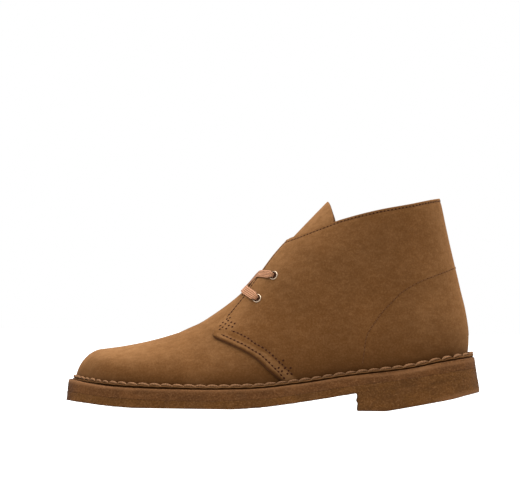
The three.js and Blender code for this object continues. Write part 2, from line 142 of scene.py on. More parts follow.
# Rows of (along, up, half width, half height): a seam's stitch, a needle hole and a stitch of the flange.
STITCH = (
    (-1.0, -0.25, 0.14, 0.1), (-0.7, 0.05, 0.24, 0.18), (-0.3, 0.14, 0.28, 0.2), (0.3, 0.14, 0.28, 0.2),
    (0.7, 0.05, 0.24, 0.18), (1.0, -0.25, 0.14, 0.1),
)
HOLE = (
    (-0.66, -0.06, 0.16, 0.03), (-0.5, 0.0, 0.38, 0.07), (-0.2, 0.03, 0.5, 0.1), (0.2, 0.03, 0.5, 0.1),
    (0.5, 0.0, 0.38, 0.07), (0.66, -0.06, 0.16, 0.03),
)
WELT_STITCH = (
    (-1.0, -0.3, 0.2, 0.16), (-0.9, 0.15, 0.55, 0.45), (-0.7, 0.6, 0.9, 0.7), (-0.42, 0.92, 1.1, 0.84),
    (-0.05, 1.0, 1.15, 0.86), (0.3, 0.85, 1.05, 0.78), (0.6, 0.55, 0.85, 0.64), (0.85, 0.15, 0.55, 0.45),
    (1.0, -0.25, 0.2, 0.16),
)
# Soft creases on the upper: both ends seen from the side, half width and depth.
CREASES = (
    ((84, 54), (93, 27), 4.5, 0.5),
    ((97, 60), (104, 34), 4.0, 0.45),
    ((112, 50), (128, 28), 5.0, 0.3),
    ((150, 84), (178, 62), 8.0, 0.5),
    ((158, 112), (196, 92), 9.0, 0.45),
    ((232, 140), (262, 108), 10.0, 0.6),
    ((205, 118), (236, 96), 9.0, 0.4),
    ((238, 66), (280, 74), 9.0, -0.4),
)


def smooth(value, low, high):
    """A smooth step from 0 at low to 1 at high."""
    t = np.clip((np.asarray(value, float) - low) / (high - low), 0, 1)
    return t * t * (3 - 2 * t)


def mix(a, b, t):
    """The value at a share t of the way from a to b."""
    return a + (b - a) * t


def hump(value, middle, width):
    """A smooth rise from 0 to 1 at the middle and back to 0."""
    return np.exp(-(((value - middle) / width) ** 2))


class Curve:
    """Monotone cubic curve through two columns of a table, straight beyond its ends."""

    def __init__(self, table, column, row):
        self.x = np.array(table[column], float)
        self.y = np.array(table[row], float)
        if self.x[0] > self.x[-1]:
            self.x, self.y = self.x[::-1], self.y[::-1]
        slope = np.diff(self.y) / np.diff(self.x)
        tangent = np.zeros_like(self.x)
        tangent[0], tangent[-1] = slope[0], slope[-1]
        before, after = slope[:-1], slope[1:]
        same = before * after > 0
        tangent[1:-1][same] = (2 * before * after)[same] / (before + after)[same]
        self.tangent = tangent

    def __call__(self, value):
        v = np.asarray(value, float)
        i = np.clip(np.searchsorted(self.x, v, side="left") - 1, 0, len(self.x) - 2)
        h = self.x[i + 1] - self.x[i]
        t = (v - self.x[i]) / h
        rise, next_rise = self.tangent[i] * h, self.tangent[i + 1] * h
        inside = np.clip(t, 0, 1)
        a = (self.y[i] * (1 + 2 * inside) + rise * inside) * (1 - inside) ** 2
        b = (self.y[i + 1] * (3 - 2 * inside) + next_rise * (inside - 1)) * inside**2
        return a + b + rise * np.minimum(t, 0) + next_rise * np.maximum(t - 1, 0)


bed, outer_half, inner_half, shaft_outer, shaft_inner, centre, roundness = (
    Curve(LAST, "x", row) for row in list(LAST)[1:]
)
seat = Curve(SEAT, "x", "z")
front_line = Curve(FRONT_LINE, "x", "z")
front_x = Curve(FRONT_LINE, "z", "x")
back_x = Curve(BACK_LINE, "z", "x")
back_cap = Curve(BACK_LINE, "z", "cap")
collar = Curve(COLLAR, "x", "z")
quarter_edge = Curve(QUARTER_EDGE, "x", "z")
throat = Curve(THROAT, "s", "half")
tongue_half = Curve(TONGUE, "s", "half")


def round_end(distance, length, power):
    """Share of the full size at a distance from a rounded end of the given length."""
    left = np.clip(1 - distance / length, 0, 1)
    return (1 - left**power) ** (1 / power)


def ridge(x):
    """Height of the last's middle line, rounded down to the toe."""
    return seat(x) + (front_line(x) - seat(x)) * round_end(x - TOE_WALL, TOE_HEIGHT_CAP, 2)


def fullness(x, z):
    """Share of the full half width that the last has at a place seen from the side."""
    top = np.maximum(ridge(x) - seat(x), 1e-3)
    high = np.clip((z - seat(x)) / top, 0, 1)
    dome = (1 - high ** roundness(x)) ** (1 / roundness(x))
    plan = round_end(x - front_x(z), SHAFT_FRONT_CAP, 2)
    front = mix(dome, plan, smooth(z, 60, 120))
    return front * round_end(x - TOE_WALL, TOE_WIDTH_CAP, 2.2) * round_end(back_x(z) - x, back_cap(z), 2.2)


def sideways(side, x, z):
    """y of the last's surface; side is -1 on the outer side and 1 on the inner."""
    share = smooth(z - seat(x), 0, 80)
    outer = mix(outer_half(x), shaft_outer(x), share) + centre(x)
    inner = mix(inner_half(x), shaft_inner(x), share) - centre(x)
    return centre(x) + side * np.where(side < 0, outer, inner) * fullness(x, z)


_front_x = TOE_WALL + FRONT_RUN * (np.arange(FRONT_STEPS + 1) / FRONT_STEPS) ** 2
_front_run = np.concatenate([[0], np.cumsum(np.hypot(np.diff(_front_x), np.diff(ridge(_front_x))))])


def ring_ends(level):
    """Where a ring round the last begins and ends: front x and height over the seat, back x and height."""
    front = np.interp(level * _front_run[COLLAR_STEP], _front_run, _front_x)
    back_z = mix(seat(HEEL_WALL), COLLAR_BACK_Z, level)
    back = back_x(back_z)
    return front, ridge(front) - seat(front), back, back_z - seat(back)


def ring(turn, level):
    """The last's surface: turn runs round it from the front line over the outer side to the back at pi."""
    turn, level = np.broadcast_arrays(np.asarray(turn, float), np.asarray(level, float))
    front, front_height, back, back_height = ring_ends(level)
    share = (1 - np.cos(turn)) / 2
    x = mix(front, back, share)
    z = seat(x) + mix(front_height, back_height, share)
    return np.stack([x, sideways(np.where(np.sin(turn) >= 0, -1.0, 1.0), x, z), z], -1)


def unit(v):
    """Directions of the given vectors."""
    return v / np.maximum(np.linalg.norm(v, axis=-1, keepdims=True), 1e-12)


def ring_normal(turn, level):
    """Direction that the last's surface faces, by turn and level."""
    step = 0.01
    along = ring(turn + step, level) - ring(turn - step, level)
    up = ring(turn, level + step) - ring(turn, np.maximum(level - step, 0))
    return unit(np.cross(along, up))


def halve(low, high, test, rounds=40):
    """Where a rising test changes sign, for arrays of limits."""
    low, high = np.array(low, float), np.array(high, float)
    for _ in range(rounds):
        middle = (low + high) / 2
        below = test(middle) < 0
        low, high = np.where(below, middle, low), np.where(below, high, middle)
    return (low + high) / 2


def locate(x, z):
    """Turn and level of a place seen from the side."""
    x, z = np.asarray(x, float), np.asarray(z, float)

    def over(level):
        front, front_height, back, back_height = ring_ends(level)
        return seat(x) + mix(front_height, back_height, (x - front) / (back - front)) - z

    level = halve(np.zeros_like(x), np.full_like(x, 1.35), over)
    front, _, back, _ = ring_ends(level)
    return np.arccos(np.clip(1 - 2 * (x - front) / (back - front), -1, 1)), level


def facing(side, x, z):
    """Direction that the last's surface faces, at a place seen from the side."""
    step = 0.05
    dx = (sideways(side, x + step, z) - sideways(side, x - step, z)) / (2 * step)
    dz = (sideways(side, x, z + step) - sideways(side, x, z - step)) / (2 * step)
    return unit(np.stack([-dx, np.ones_like(dx), -dz], -1) * side)


def on_side(side, x, z, lift):
    """Place and direction at a lift above the last, from where that place is seen from the side."""
    x, z = np.asarray(x, float), np.asarray(z, float)
    out = facing(side, x, z)
    for _ in range(6):
        base_x, base_z = x - out[..., 0] * lift, z - out[..., 2] * lift
        out = facing(side, base_x, base_z)
    base = np.stack([base_x, sideways(side, base_x, base_z), base_z], -1)
    return base + out * lift, out


def instep_run(x, z):
    """Distance along the instep, s, of a place seen from the side."""
    return x * math.cos(INSTEP_ANGLE) + z * math.sin(INSTEP_ANGLE)


# The front of the last by distance along the instep, s, and distance sideways from its ridge.
_s_grid = np.arange(96.0, 246.0, 1.0)
_side_grid = np.arange(0.0, 40.5, 0.5)
_depth_grid = np.concatenate([np.linspace(0, 1.5, 16) ** 2 / 1.5, np.arange(2, 75, 0.5)])
_ridge_s = instep_run(_front_x, ridge(_front_x))
_ridge_x = np.interp(_s_grid, _ridge_s, _front_x)
_depths = {}
for _side in SIDES:
    _x = _ridge_x[:, None] + _depth_grid * math.sin(INSTEP_ANGLE)
    _z = ridge(_ridge_x)[:, None] - _depth_grid * math.cos(INSTEP_ANGLE)
    _reach = np.abs(sideways(_side, _x, _z) - centre(_ridge_x)[:, None])
    _depths[_side] = np.array([np.interp(_side_grid, np.maximum.accumulate(r), _depth_grid) for r in _reach])


def instep(s, y):
    """The last's surface over the instep; y is measured from its ridge."""
    s, y = np.broadcast_arrays(np.asarray(s, float), np.asarray(y, float))
    i = np.clip((s - _s_grid[0]).astype(int), 0, len(_s_grid) - 2)
    j = np.clip((np.abs(y) / 0.5).astype(int), 0, len(_side_grid) - 2)
    a, b = s - _s_grid[i], np.abs(y) / 0.5 - j
    depth = np.zeros_like(s)
    for side, table in _depths.items():
        here = mix(mix(table[i, j], table[i, j + 1], b), mix(table[i + 1, j], table[i + 1, j + 1], b), a)
        depth = np.where((y < 0) == (side < 0), here, depth)
    x = np.interp(s, _ridge_s, _front_x)
    z = ridge(x) - depth * math.cos(INSTEP_ANGLE)
    return np.stack([x + depth * math.sin(INSTEP_ANGLE), centre(x) + y, z], -1)


def instep_normal(s, y):
    """Direction that the last's surface faces over the instep."""
    along = instep(s + 1.0, y) - instep(s - 1.0, y)
    across = instep(s, y + 1.5) - instep(s, y - 1.5)
    return unit(np.cross(along, across))


def noise(points, size, seed=0):
    """Smooth random field from -1 to 1 with features of the given size."""
    cell = np.floor(points / size).astype(np.int64)
    f = points / size - cell
    f = f * f * (3 - 2 * f)

    def corner(*step):
        """A whole number scrambled from the cell's place, as a value from -1 to 1."""
        n = ((cell + step) * [374761393, 668265263, 2147483647]).sum(-1)
        n = (n + seed * 1274126177) & 0xFFFFFFFF
        n = ((n ^ (n >> 13)) * 1274126177) & 0xFFFFFFFF
        return ((n ^ (n >> 16)) & 0xFFFF) / 32767.5 - 1

    def layer(dz):
        low = mix(corner(0, 0, dz), corner(1, 0, dz), f[..., 0])
        high = mix(corner(0, 1, dz), corner(1, 1, dz), f[..., 0])
        return mix(low, high, f[..., 1])

    return mix(layer(0), layer(1), f[..., 2])


def creased(points):
    """How far the suede stands out of its plain form: creases, and a little unevenness."""
    out = 0.2 * noise(points, 30.0, 3) + 0.06 * noise(points, 9.0, 4)
    x, z = points[..., 0], points[..., 2]
    out = out + 0.5 * smooth(x, 245, 275) * smooth(z, 42, 50) * (1 - smooth(z, 68, 90))
    for (x0, z0), (x1, z1), width, depth in CREASES:
        length = math.hypot(x1 - x0, z1 - z0)
        ux, uz = (x1 - x0) / length, (z1 - z0) / length
        along = ((x - x0) * ux + (z - z0) * uz) / length
        off = (x - x0) * uz - (z - z0) * ux + 2.0 * np.sin(along * 4)
        ends = smooth(along, -0.25, 0.3) * (1 - smooth(along, 0.7, 1.25))
        out = out - depth * ends * (hump(off, 0, width) - 0.45 * hump(off, 2 * width, width))
    return out


# ---------------------------------------------------------------------------
# Meshes
# ---------------------------------------------------------------------------
def around(count):
    """Angles at even steps round a circle."""
    return np.arange(count) * 2 * math.pi / count


def grid_faces(rows, columns, closed=False, looped=False):
    """Quads of a grid; closed joins its last column to its first, and looped its last row to its first."""
    i, j = np.meshgrid(
        np.arange(rows if looped else rows - 1), np.arange(columns if closed else columns - 1), indexing="ij"
    )
    below, after = (i + 1) % rows * columns, (j + 1) % columns
    return np.stack([i * columns + j, i * columns + after, below + after, below + j], -1).reshape(-1, 4)


def tube_faces(rows, sides):
    """Quads of a tube with closed ends."""
    ends = np.array([[k, k + 1, sides - 2 - k, sides - 1 - k] for k in range(sides // 2 - 1)])
    return np.concatenate([grid_faces(rows, sides, closed=True), ends[:, ::-1], ends + (rows - 1) * sides])


def make_piece(name, points, faces, looks, slot, replaced=(), fields=None, face_looks=None):
    """A mesh object from points in millimetres, riding on the boot's one body."""
    faces = faces if isinstance(faces, list) else [faces]
    mesh = bpy.data.meshes.new(name)
    place = (points.reshape(-1, 3) - MIDDLE) * MM
    mesh.vertices.add(len(place))
    mesh.vertices.foreach_set("co", place.ravel())
    corners = np.concatenate([f.ravel() for f in faces])
    mesh.loops.add(len(corners))
    mesh.loops.foreach_set("vertex_index", corners)
    counts = np.concatenate([np.full(len(f), f.shape[1]) for f in faces])
    mesh.polygons.add(len(counts))
    mesh.polygons.foreach_set("loop_start", np.cumsum(counts) - counts)
    if face_looks is not None:
        mesh.polygons.foreach_set("material_index", face_looks)
    mesh.update(calc_edges=True)
    mesh.validate()
    mesh.shade_smooth()
    for field, values in (fields or {}).items():
        layer = mesh.attributes.new(field, "FLOAT", "POINT")
        layer.data.foreach_set("value", np.asarray(values, np.float32).ravel())
    for look in looks:
        mesh.materials.append(material(look))
    piece = bpy.data.objects.new(name, mesh)
    bpy.context.scene.collection.objects.link(piece)
    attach(piece, "root")
    if replaced:
        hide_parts(*replaced)


def make_layer(name, outer, inner, node, foot, rubbed):
    """A layer of suede between two grids of equal size: its face, its flesh side and its cut edge."""
    rows, columns = outer.shape[:2]
    count = rows * columns
    face = grid_faces(rows, columns)
    border = np.concatenate(
        [
            np.arange(columns - 1),
            np.arange(rows - 1) * columns + columns - 1,
            (rows - 1) * columns + np.arange(columns - 1, 0, -1),
            np.arange(rows - 1, 0, -1) * columns,
        ]
    )
    after = np.roll(border, -1)
    edge = np.stack([after, border, border + count, after + count], -1)
    faces = np.concatenate([face, face[:, ::-1] + count, edge])
    face_looks = np.repeat([0, 1, 2], (len(face), len(face), len(edge)))
    looks = ("Suede", "Suede_flesh_side", "Suede_cut_edge")
    fields = {"foot": np.tile(foot.ravel(), 2), "rubbed": np.tile(rubbed.ravel(), 2)}
    make_piece(name, np.stack([outer, inner]), faces, looks, "suede", (node,), fields, face_looks)


def capped(walls, across, top_row, lift):
    """Points and faces of a wall of rings, closed at both ends by faces from side to side, moved by lift."""
    count, columns = walls.shape[:2]
    half = columns // 2
    share = np.linspace(0, 1, across + 1)[1:-1, None]
    points, quads, fans = [walls.reshape(-1, 3)], [grid_faces(count, columns, closed=True)], []
    for row, upper in ((top_row, True), (count - 1 - top_row, False)):
        start = sum(len(p) for p in points)
        grid = mix(walls[row][1:half], walls[row][:half:-1], share[..., None])
        grid[..., 2] += lift(grid, share, upper)
        points.append(grid.reshape(-1, 3))
        first = row * columns
        left, right = first + np.arange(1, half), first + np.arange(columns - 1, half, -1)
        inner = start + np.arange((across - 1) * (half - 1)).reshape(across - 1, half - 1)
        lines = np.concatenate([left[None], inner, right[None]])
        face = np.stack([lines[:-1, :-1], lines[1:, :-1], lines[1:, 1:], lines[:-1, 1:]], -1).reshape(-1, 4)
        quads.append(face[:, ::-1] if upper else face)
        for column, end in ((0, first), (half - 2, first + half)):
            fan = np.stack([lines[:-1, column], lines[1:, column], np.full(across, end)], -1)
            fans.append(fan if upper == (column == 0) else fan[:, ::-1])
    return np.concatenate(points), [np.concatenate(quads), np.concatenate(fans)]


def join(parts):
    """One list of points and one of faces from several pairs of them."""
    starts = np.cumsum([0] + [len(points) for points, _ in parts[:-1]])
    faces = [faces + start for (_, faces), start in zip(parts, starts)]
    return np.concatenate([points for points, _ in parts]), np.concatenate(faces)


def steps(count, low, high):
    """Numbers from 0 to 1, with a few close together within a share low or high of either end."""
    fine = np.array([0, 0.2, 0.45, 0.75])
    parts = [fine * low] if low else []
    parts.append(np.linspace(low, 1 - high, count))
    if high:
        parts.append(1 - (fine * high)[::-1])
    return np.concatenate(parts)


def run_along(points, axis=0):
    """Distance travelled along one axis of a grid of points."""
    lengths = np.linalg.norm(np.diff(points, axis=axis), axis=-1)
    start = np.zeros_like(np.take(lengths, [0], axis=axis))
    return np.concatenate([start, np.cumsum(lengths, axis=axis)], axis=axis)


def places_at(line, run, at):
    """Places at distances along a line of points."""
    return np.stack([np.interp(at, run, column) for column in line.T], -1)


def rounded(distance, radius):
    """How far a face drops towards its edge when the edge is rounded."""
    near = np.clip(1 - distance / radius, 0, 1)
    return radius * (1 - np.sqrt(1 - near**2))


def quarter_share(x):
    """How much of the quarters' layer widens the foot: none at the toe, all of it at the heel."""
    return smooth(x, 130, 175)


def foot_line(turn, reach, depth, quarter_layer):
    """The foot of the upper moved out by reach and down square to the seat by depth."""
    plan = ring(turn, 0.0)
    ahead, behind = ring(turn + 0.004, 0.0), ring(turn - 0.004, 0.0)
    out = unit(np.stack([ahead[..., 1] - behind[..., 1], behind[..., 0] - ahead[..., 0]], -1))
    out = out * np.sign(np.sum(out * (plan[..., :2] - PLAN_MIDDLE), -1, keepdims=True))
    reach = reach + quarter_layer * quarter_share(plan[..., 0])
    x = plan[..., 0] + out[..., 0] * reach
    slope = np.arctan(bed(x + 0.5) - bed(x - 0.5))
    z = mix(seat(x), bed(x), np.clip(depth / SOLE_DEPTH, 0, 1)) - depth * np.cos(slope)
    return np.stack([x + depth * np.sin(slope), plan[..., 1] + out[..., 1] * reach, z], -1)


def scatter(template, faces, place, along, up):
    """Copies of a small form given in (along, across, up), one at each place."""
    along = unit(along - up * np.sum(along * up, -1, keepdims=True))
    points = place[:, None] + template @ np.stack([along, np.cross(up, along), up], 1)
    shifts = (np.arange(len(place)) * len(template))[:, None, None]
    return points.reshape(-1, 3), (faces[None] + shifts).reshape(-1, faces.shape[1])


def bead(stations, sides):
    """A closed form along one axis from rows of (along, up, half width, half height)."""
    rows = [[(a, w * math.cos(t), u + h * math.sin(t)) for t in around(sides)] for a, u, w, h in stations]
    return np.array(rows).reshape(-1, 3), tube_faces(len(rows), sides)


def lathe(profile, sides):
    """Rings of points round an axis from rows of (radius, height)."""
    angle = around(sides)
    rings = [[(r * math.cos(t), r * math.sin(t), height) for t in angle] for r, height in profile]
    return np.array(rings).reshape(-1, 3)


def piece_tree(name):
    """A search tree of a made piece's faces."""
    mesh = bpy.data.objects[name].data
    return BVHTree.FromPolygons([v.co for v in mesh.vertices], [tuple(p.vertices) for p in mesh.polygons])


def settle(points, tree):
    """The nearest places on a made piece, with its face's direction there."""
    found = [tree.find_nearest(point) for point in (points - MIDDLE) * MM]
    return np.array([place for place, *_ in found]) / MM + MIDDLE, np.array([out for _, out, *_ in found])


# ---------------------------------------------------------------------------
# Materials
# ---------------------------------------------------------------------------
class Finish:
    """A material of one shader, with short ways to add the nodes that vary it."""

    def __init__(self, name, roughness, metallic=0.0, sheen=0.0, sheen_tint=(1, 1, 1), specular=0.5):
        self.material = bpy.data.materials.new(name)
        self.material.use_nodes = True
        self.tree = self.material.node_tree
        self.shader = self.tree.nodes["Principled BSDF"]
        for key, value in (
            ("Roughness", roughness),
            ("Metallic", metallic),
            ("Specular IOR Level", specular),
            ("Sheen Weight", sheen),
            ("Sheen Roughness", 0.45),
            ("Sheen Tint", (*sheen_tint, 1)),
        ):
            self.shader.inputs[key].default_value = value
        self.coordinates = self.tree.nodes.new("ShaderNodeTexCoord").outputs["Object"]

    def feed(self, socket, value):
        """Link an input to another node's output, or set its value."""
        if isinstance(value, bpy.types.NodeSocket):
            self.tree.links.new(value, socket)
        else:
            socket.default_value = value

    def node(self, kind, inputs, **settings):
        """Add a node with its inputs linked or set; gives its outputs."""
        made = self.tree.nodes.new(kind)
        for key, value in settings.items():
            setattr(made, key, value)
        for key, value in inputs.items():
            self.feed(made.inputs[key], value)
        return made.outputs

    def stretched(self, scale, turn=(0, 0, 0)):
        """The piece's coordinates, scaled along each axis and turned."""
        inputs = {"Vector": self.coordinates, "Scale": scale, "Rotation": turn}
        return self.node("ShaderNodeMapping", inputs)["Vector"]

    def noise(self, scale, detail=3.0, rough=0.55, distortion=0.0, vector=None):
        inputs = {"Vector": vector or self.coordinates, "Scale": scale, "Detail": detail, "Roughness": rough}
        return self.node("ShaderNodeTexNoise", {**inputs, "Distortion": distortion})["Fac"]

    def cells(self, scale, vector=None):
        inputs = {"Vector": vector or self.coordinates, "Scale": scale}
        return self.node("ShaderNodeTexVoronoi", inputs)["Distance"]

    def field(self, name, factor=1.0):
        """A field of the mesh, times a factor."""
        value = self.node("ShaderNodeAttribute", {}, attribute_name=name)["Fac"]
        return value if factor == 1 else self.maths("MULTIPLY", value, factor)

    def ramp(self, value, low, high, to=(0.0, 1.0)):
        """A value's rise from low to high, spread between two others."""
        inputs = {"Value": value, "From Min": low, "From Max": high, "To Min": to[0], "To Max": to[1]}
        return self.node("ShaderNodeMapRange", inputs)["Result"]

    def maths(self, operation, a, b=0.0):
        return self.node("ShaderNodeMath", {0: a, 1: b}, operation=operation)["Value"]

    def blend(self, share, a, b):
        """A mix of two colours, each given as three numbers or as an output."""
        made = self.tree.nodes.new("ShaderNodeMix")
        made.data_type = "RGBA"
        for name, value in (("Factor", share), ("A", a), ("B", b)):
            socket = next(i for i in made.inputs if i.name == name and i.enabled)
            self.feed(socket, (*value, 1) if isinstance(value, tuple) else value)
        return next(o for o in made.outputs if o.enabled)

    def layered(self, base, *layers):
        """Colours over a base, each laid by (value, from, to, share, colour)."""
        for value, low, high, share, colour in layers:
            base = self.blend(self.ramp(value, low, high, (0, share)), base, colour)
        return base

    def colour(self, socket):
        self.feed(self.shader.inputs["Base Color"], socket)

    def rough(self, socket):
        self.feed(self.shader.inputs["Roughness"], socket)

    def bumps(self, *layers):
        """Layers of (height, strength, distance in metres), coarse first; gives the finished material."""
        normal = {}
        for height, strength, distance in layers:
            inputs = {"Height": height, "Strength": strength, "Distance": distance, **normal}
            normal = {"Normal": self.node("ShaderNodeBump", inputs)["Normal"]}
        self.feed(self.shader.inputs["Normal"], normal["Normal"])
        return self.material


def shade(colour, factor):
    """A colour made darker or lighter by a factor."""
    return tuple(min(1.0, c * factor) for c in colour)


def suede_finish(name, colour, light, dark):
    """Napped suede: soft patches and fine grain; lighter where worn and where light is painted, and darkened
    by painted shade towards the foot and under edges.
    """
    finish = Finish(name, 0.95, sheen=0.35, sheen_tint=light, specular=0.035)
    clouds = finish.noise(26, 4, 0.6)
    brushed = finish.noise(210, 4, 0.65, vector=finish.stretched((0.6, 1, 1.2), (0, 0.4, 0.2)))
    grain = finish.noise(750, 4, 0.7)
    fibres = finish.noise(2200, 2, 0.7)
    base = finish.blend(finish.ramp(clouds, 0.35, 0.65), shade(colour, 0.93), shade(colour, 1.07))
    base = finish.layered(base, (brushed, 0.42, 0.7, 0.12, light), (grain, 0.58, 0.36, 0.25, dark))
    base = finish.layered(base, (grain, 0.52, 0.72, 0.14, light))
    # Painted shade: the foot field darkens the suede towards the sole, in the flange's corner and slot, and
    # under and beside the quarters' edges.
    base = finish.blend(finish.field("foot", 0.93), base, dark)
    uneven = finish.ramp(brushed, 0.3, 0.6, (0.55, 1.0))
    # The wear field lightens the suede where it is worn and, as painted light, on faces turned up, forward or
    # back.
    rubbed = finish.maths("MULTIPLY", finish.field("rubbed", 0.7), uneven)
    finish.colour(finish.blend(rubbed, base, light))
    coarse = (clouds, 0.08, 0.001), (brushed, 0.16, 0.0005)
    return finish.bumps(*coarse, (grain, 0.3, 0.0003), (fibres, 0.3, 0.0002))


def raw_edge_finish(name, colour, light):
    """The cut edge of the suede: pale fibres in fine layers."""
    finish = Finish(name, 0.95, sheen=0.2, sheen_tint=light, specular=0.1)
    fibres = finish.noise(900, 3, 0.7, vector=finish.stretched((1, 1, 3)))
    finish.colour(finish.blend(finish.ramp(fibres, 0.3, 0.7), shade(colour, 0.8), light))
    return finish.bumps((fibres, 0.5, 0.0003))


def crepe_finish(name, colour, light, dark):
    """Plantation crepe: mottled rubber with crinkled layers and pale specks, darker and lighter where two
    fields say.
    """
    finish = Finish(name, 0.85, specular=0.05)
    patches = finish.noise(60, 5, 0.62, 0.3, finish.stretched((1, 1, 1.7), (0, -0.08, 0)))
    mottle = finish.noise(620, 5, 0.7, 0.2, finish.stretched((1, 1, 1.3)))
    specks = finish.noise(1500, 2, 0.5)
    crinkle = finish.cells(760, finish.stretched((1, 1, 1.3)))
    base = finish.blend(finish.ramp(patches, 0.35, 0.66), shade(colour, 0.82), shade(colour, 1.18))
    base = finish.layered(
        base,
        (mottle, 0.5, 0.72, 0.6, light),
        (mottle, 0.47, 0.28, 0.6, dark),
        (crinkle, 0.3, 0.75, 0.25, dark),
        (specks, 0.68, 0.78, 0.45, shade(light, 1.35)),
    )
    # Darker where the field says: dark joints between the sheets, painted shade under the flange's lip, and
    # darker toe, rear and bottom edges.
    base = finish.blend(finish.field("grime", 0.75), base, dark)
    # Lighter where the field says: worn spots and random wear, and a painted highlight band on the upper
    # sheet.
    finish.colour(finish.blend(finish.field("rubbed", 0.8), base, shade(light, 1.05)))
    finish.rough(finish.ramp(patches, 0.3, 0.7, (0.72, 0.9)))
    coarse = (patches, 0.25, 0.0012), (crinkle, 0.3, 0.0006)
    return finish.bumps(*coarse, (mottle, 0.5, 0.0005), (specks, 0.2, 0.0002))


def leather_finish(name, colour):
    """Smooth sock leather, slightly polished under the heel and ball."""
    finish = Finish(name, 0.55, specular=0.4)
    clouds = finish.noise(45, 4)
    base = finish.blend(finish.ramp(clouds, 0.3, 0.7), shade(colour, 0.82), shade(colour, 1.1))
    finish.colour(finish.blend(finish.field("rubbed", 0.5), base, shade(colour, 0.5)))
    finish.rough(finish.ramp(clouds, 0.3, 0.7, (0.45, 0.65)))
    return finish.bumps((finish.cells(1100), 0.25, 0.0003))


def woven_finish(name, colour):
    """Flat woven lace: lengthways ribs crossed by a fine weft."""
    finish = Finish(name, 0.85, sheen=0.3, sheen_tint=shade(colour, 1.3), specular=0.2)
    weft = finish.maths("SINE", finish.field("along", 7.0))
    warp = finish.maths("SINE", finish.field("across", 2 * math.pi * LACE_RIBS))
    weave = finish.maths("MULTIPLY", weft, warp)
    base = finish.blend(finish.ramp(warp, -0.9, 0.7), shade(colour, 0.48), shade(colour, 1.12))
    base = finish.layered(
        base, (weave, -1, 1, 0.3, shade(colour, 0.6)), (finish.noise(220), 0.35, 0.7, 0.3, shade(colour, 1.3))
    )
    finish.colour(base)
    return finish.bumps((warp, 0.6, 0.0003), (weave, 0.4, 0.0002), (finish.noise(1600, 2, 0.7), 0.3, 0.0002))


def thread_finish(name, colour):
    """Waxed thread with a slanting twist, darker where its foot field says."""
    finish = Finish(name, 0.85, sheen=0.1, sheen_tint=shade(colour, 2.0), specular=0.1)
    twist = finish.maths("SINE", finish.field("twist"))
    fibres = finish.noise(1400, 2, 0.7)
    base = finish.blend(finish.ramp(twist, -1, 1), shade(colour, 0.72), shade(colour, 1.15))
    base = finish.layered(base, (finish.noise(130), 0.35, 0.65, 0.45, shade(colour, 1.35)))
    base = finish.blend(finish.field("foot"), base, shade(colour, 0.3))
    finish.colour(finish.layered(base, (fibres, 0.3, 0.7, 0.35, shade(colour, 0.6))))
    return finish.bumps((twist, 0.5, 0.0003), (fibres, 0.4, 0.0002))


def hole_finish(name, colour):
    """Painted shade: the dark inside of a needle hole or an eyelet."""
    finish = Finish(name, 0.95, specular=0.05)
    finish.colour(finish.blend(finish.noise(900), shade(colour, 0.6), shade(colour, 1.2)))
    return finish.bumps((finish.noise(1600), 0.3, 0.0002))


def brass_finish(name, colour):
    """Lacquered brass worn on the rim, with painted shade inside its barrel."""
    finish = Finish(name, 0.34, metallic=1.0)
    tarnish = finish.noise(420, 4, 0.6)
    scratches = finish.noise(900, 2, 0.6, vector=finish.stretched((1, 1, 8), (0.4, 0.3, 0.2)))
    base = finish.layered(colour, (tarnish, 0.4, 0.7, 0.5, shade(colour, 0.45)))
    finish.colour(finish.blend(finish.field("hollow", 0.85), base, shade(colour, 0.18)))
    finish.rough(finish.ramp(tarnish, 0.35, 0.7, (0.26, 0.5)))
    return finish.bumps((tarnish, 0.1, 0.0002), (scratches, 0.15, 0.0001))


def floor_finish(name, colour):
    """A floor so bright that it shows as plain white."""
    finish = Finish(name, 0.9, specular=0.1)
    finish.colour(finish.blend(finish.noise(3, 2), shade(colour, 0.995), colour))
    finish.shader.inputs["Emission Color"].default_value = (1, 1, 1, 1)
    finish.shader.inputs["Emission Strength"].default_value = 1.3
    return finish.material


# Each material's finish, and the colour settings it is made from with a factor for each.
LOOKS = {
    "Suede": (suede_finish, ("suede", 1), ("suede_light", 1), ("suede_dark", 1)),
    "Suede_flesh_side": (suede_finish, ("flesh", 1), ("flesh", 1.4), ("flesh", 0.5)),
    "Suede_cut_edge": (raw_edge_finish, ("cut", 1), ("cut", 1.8)),
    "Crepe": (crepe_finish, ("crepe", 1), ("crepe_light", 1), ("crepe_dark", 1)),
    "Crepe_upper": (crepe_finish, ("crepe_upper", 1), ("crepe_light", 1), ("crepe_dark", 1)),
    "Sock_leather": (leather_finish, ("sock", 1)),
    "Woven_lace": (woven_finish, ("lace", 1)),
    "Flange_thread": (thread_finish, ("thread", 1)),
    "Seam_thread": (thread_finish, ("fine_thread", 1)),
    "Needle_hole": (hole_finish, ("hole", 1)),
    "Pricked_mark": (hole_finish, ("mark", 1)),
    "Worn_brass": (brass_finish, ("brass", 1)),
    "Floor_paper": (floor_finish, ("floor", 1)),
}


def material(name):
    """A material by name, made on first use."""
    finish, *shades = LOOKS[name]
    group = bpy.context.scene.boot_colours
    colours = [shade(getattr(group, colour), factor) for colour, factor in shades]
    return bpy.data.materials.get(name) or finish(name, *colours)


# ---------------------------------------------------------------------------
# Settings that a user would change
# ---------------------------------------------------------------------------
def colour_setting(name, description, default):
    return bpy.props.FloatVectorProperty(
        name=name, description=description, default=default, subtype="COLOR", size=3, min=0, max=1
    )


def length_setting(name, description, millimetres):
    return bpy.props.FloatProperty(
        name=name, description=description, default=millimetres * MM, unit="LENGTH", subtype="DISTANCE", min=0
    )


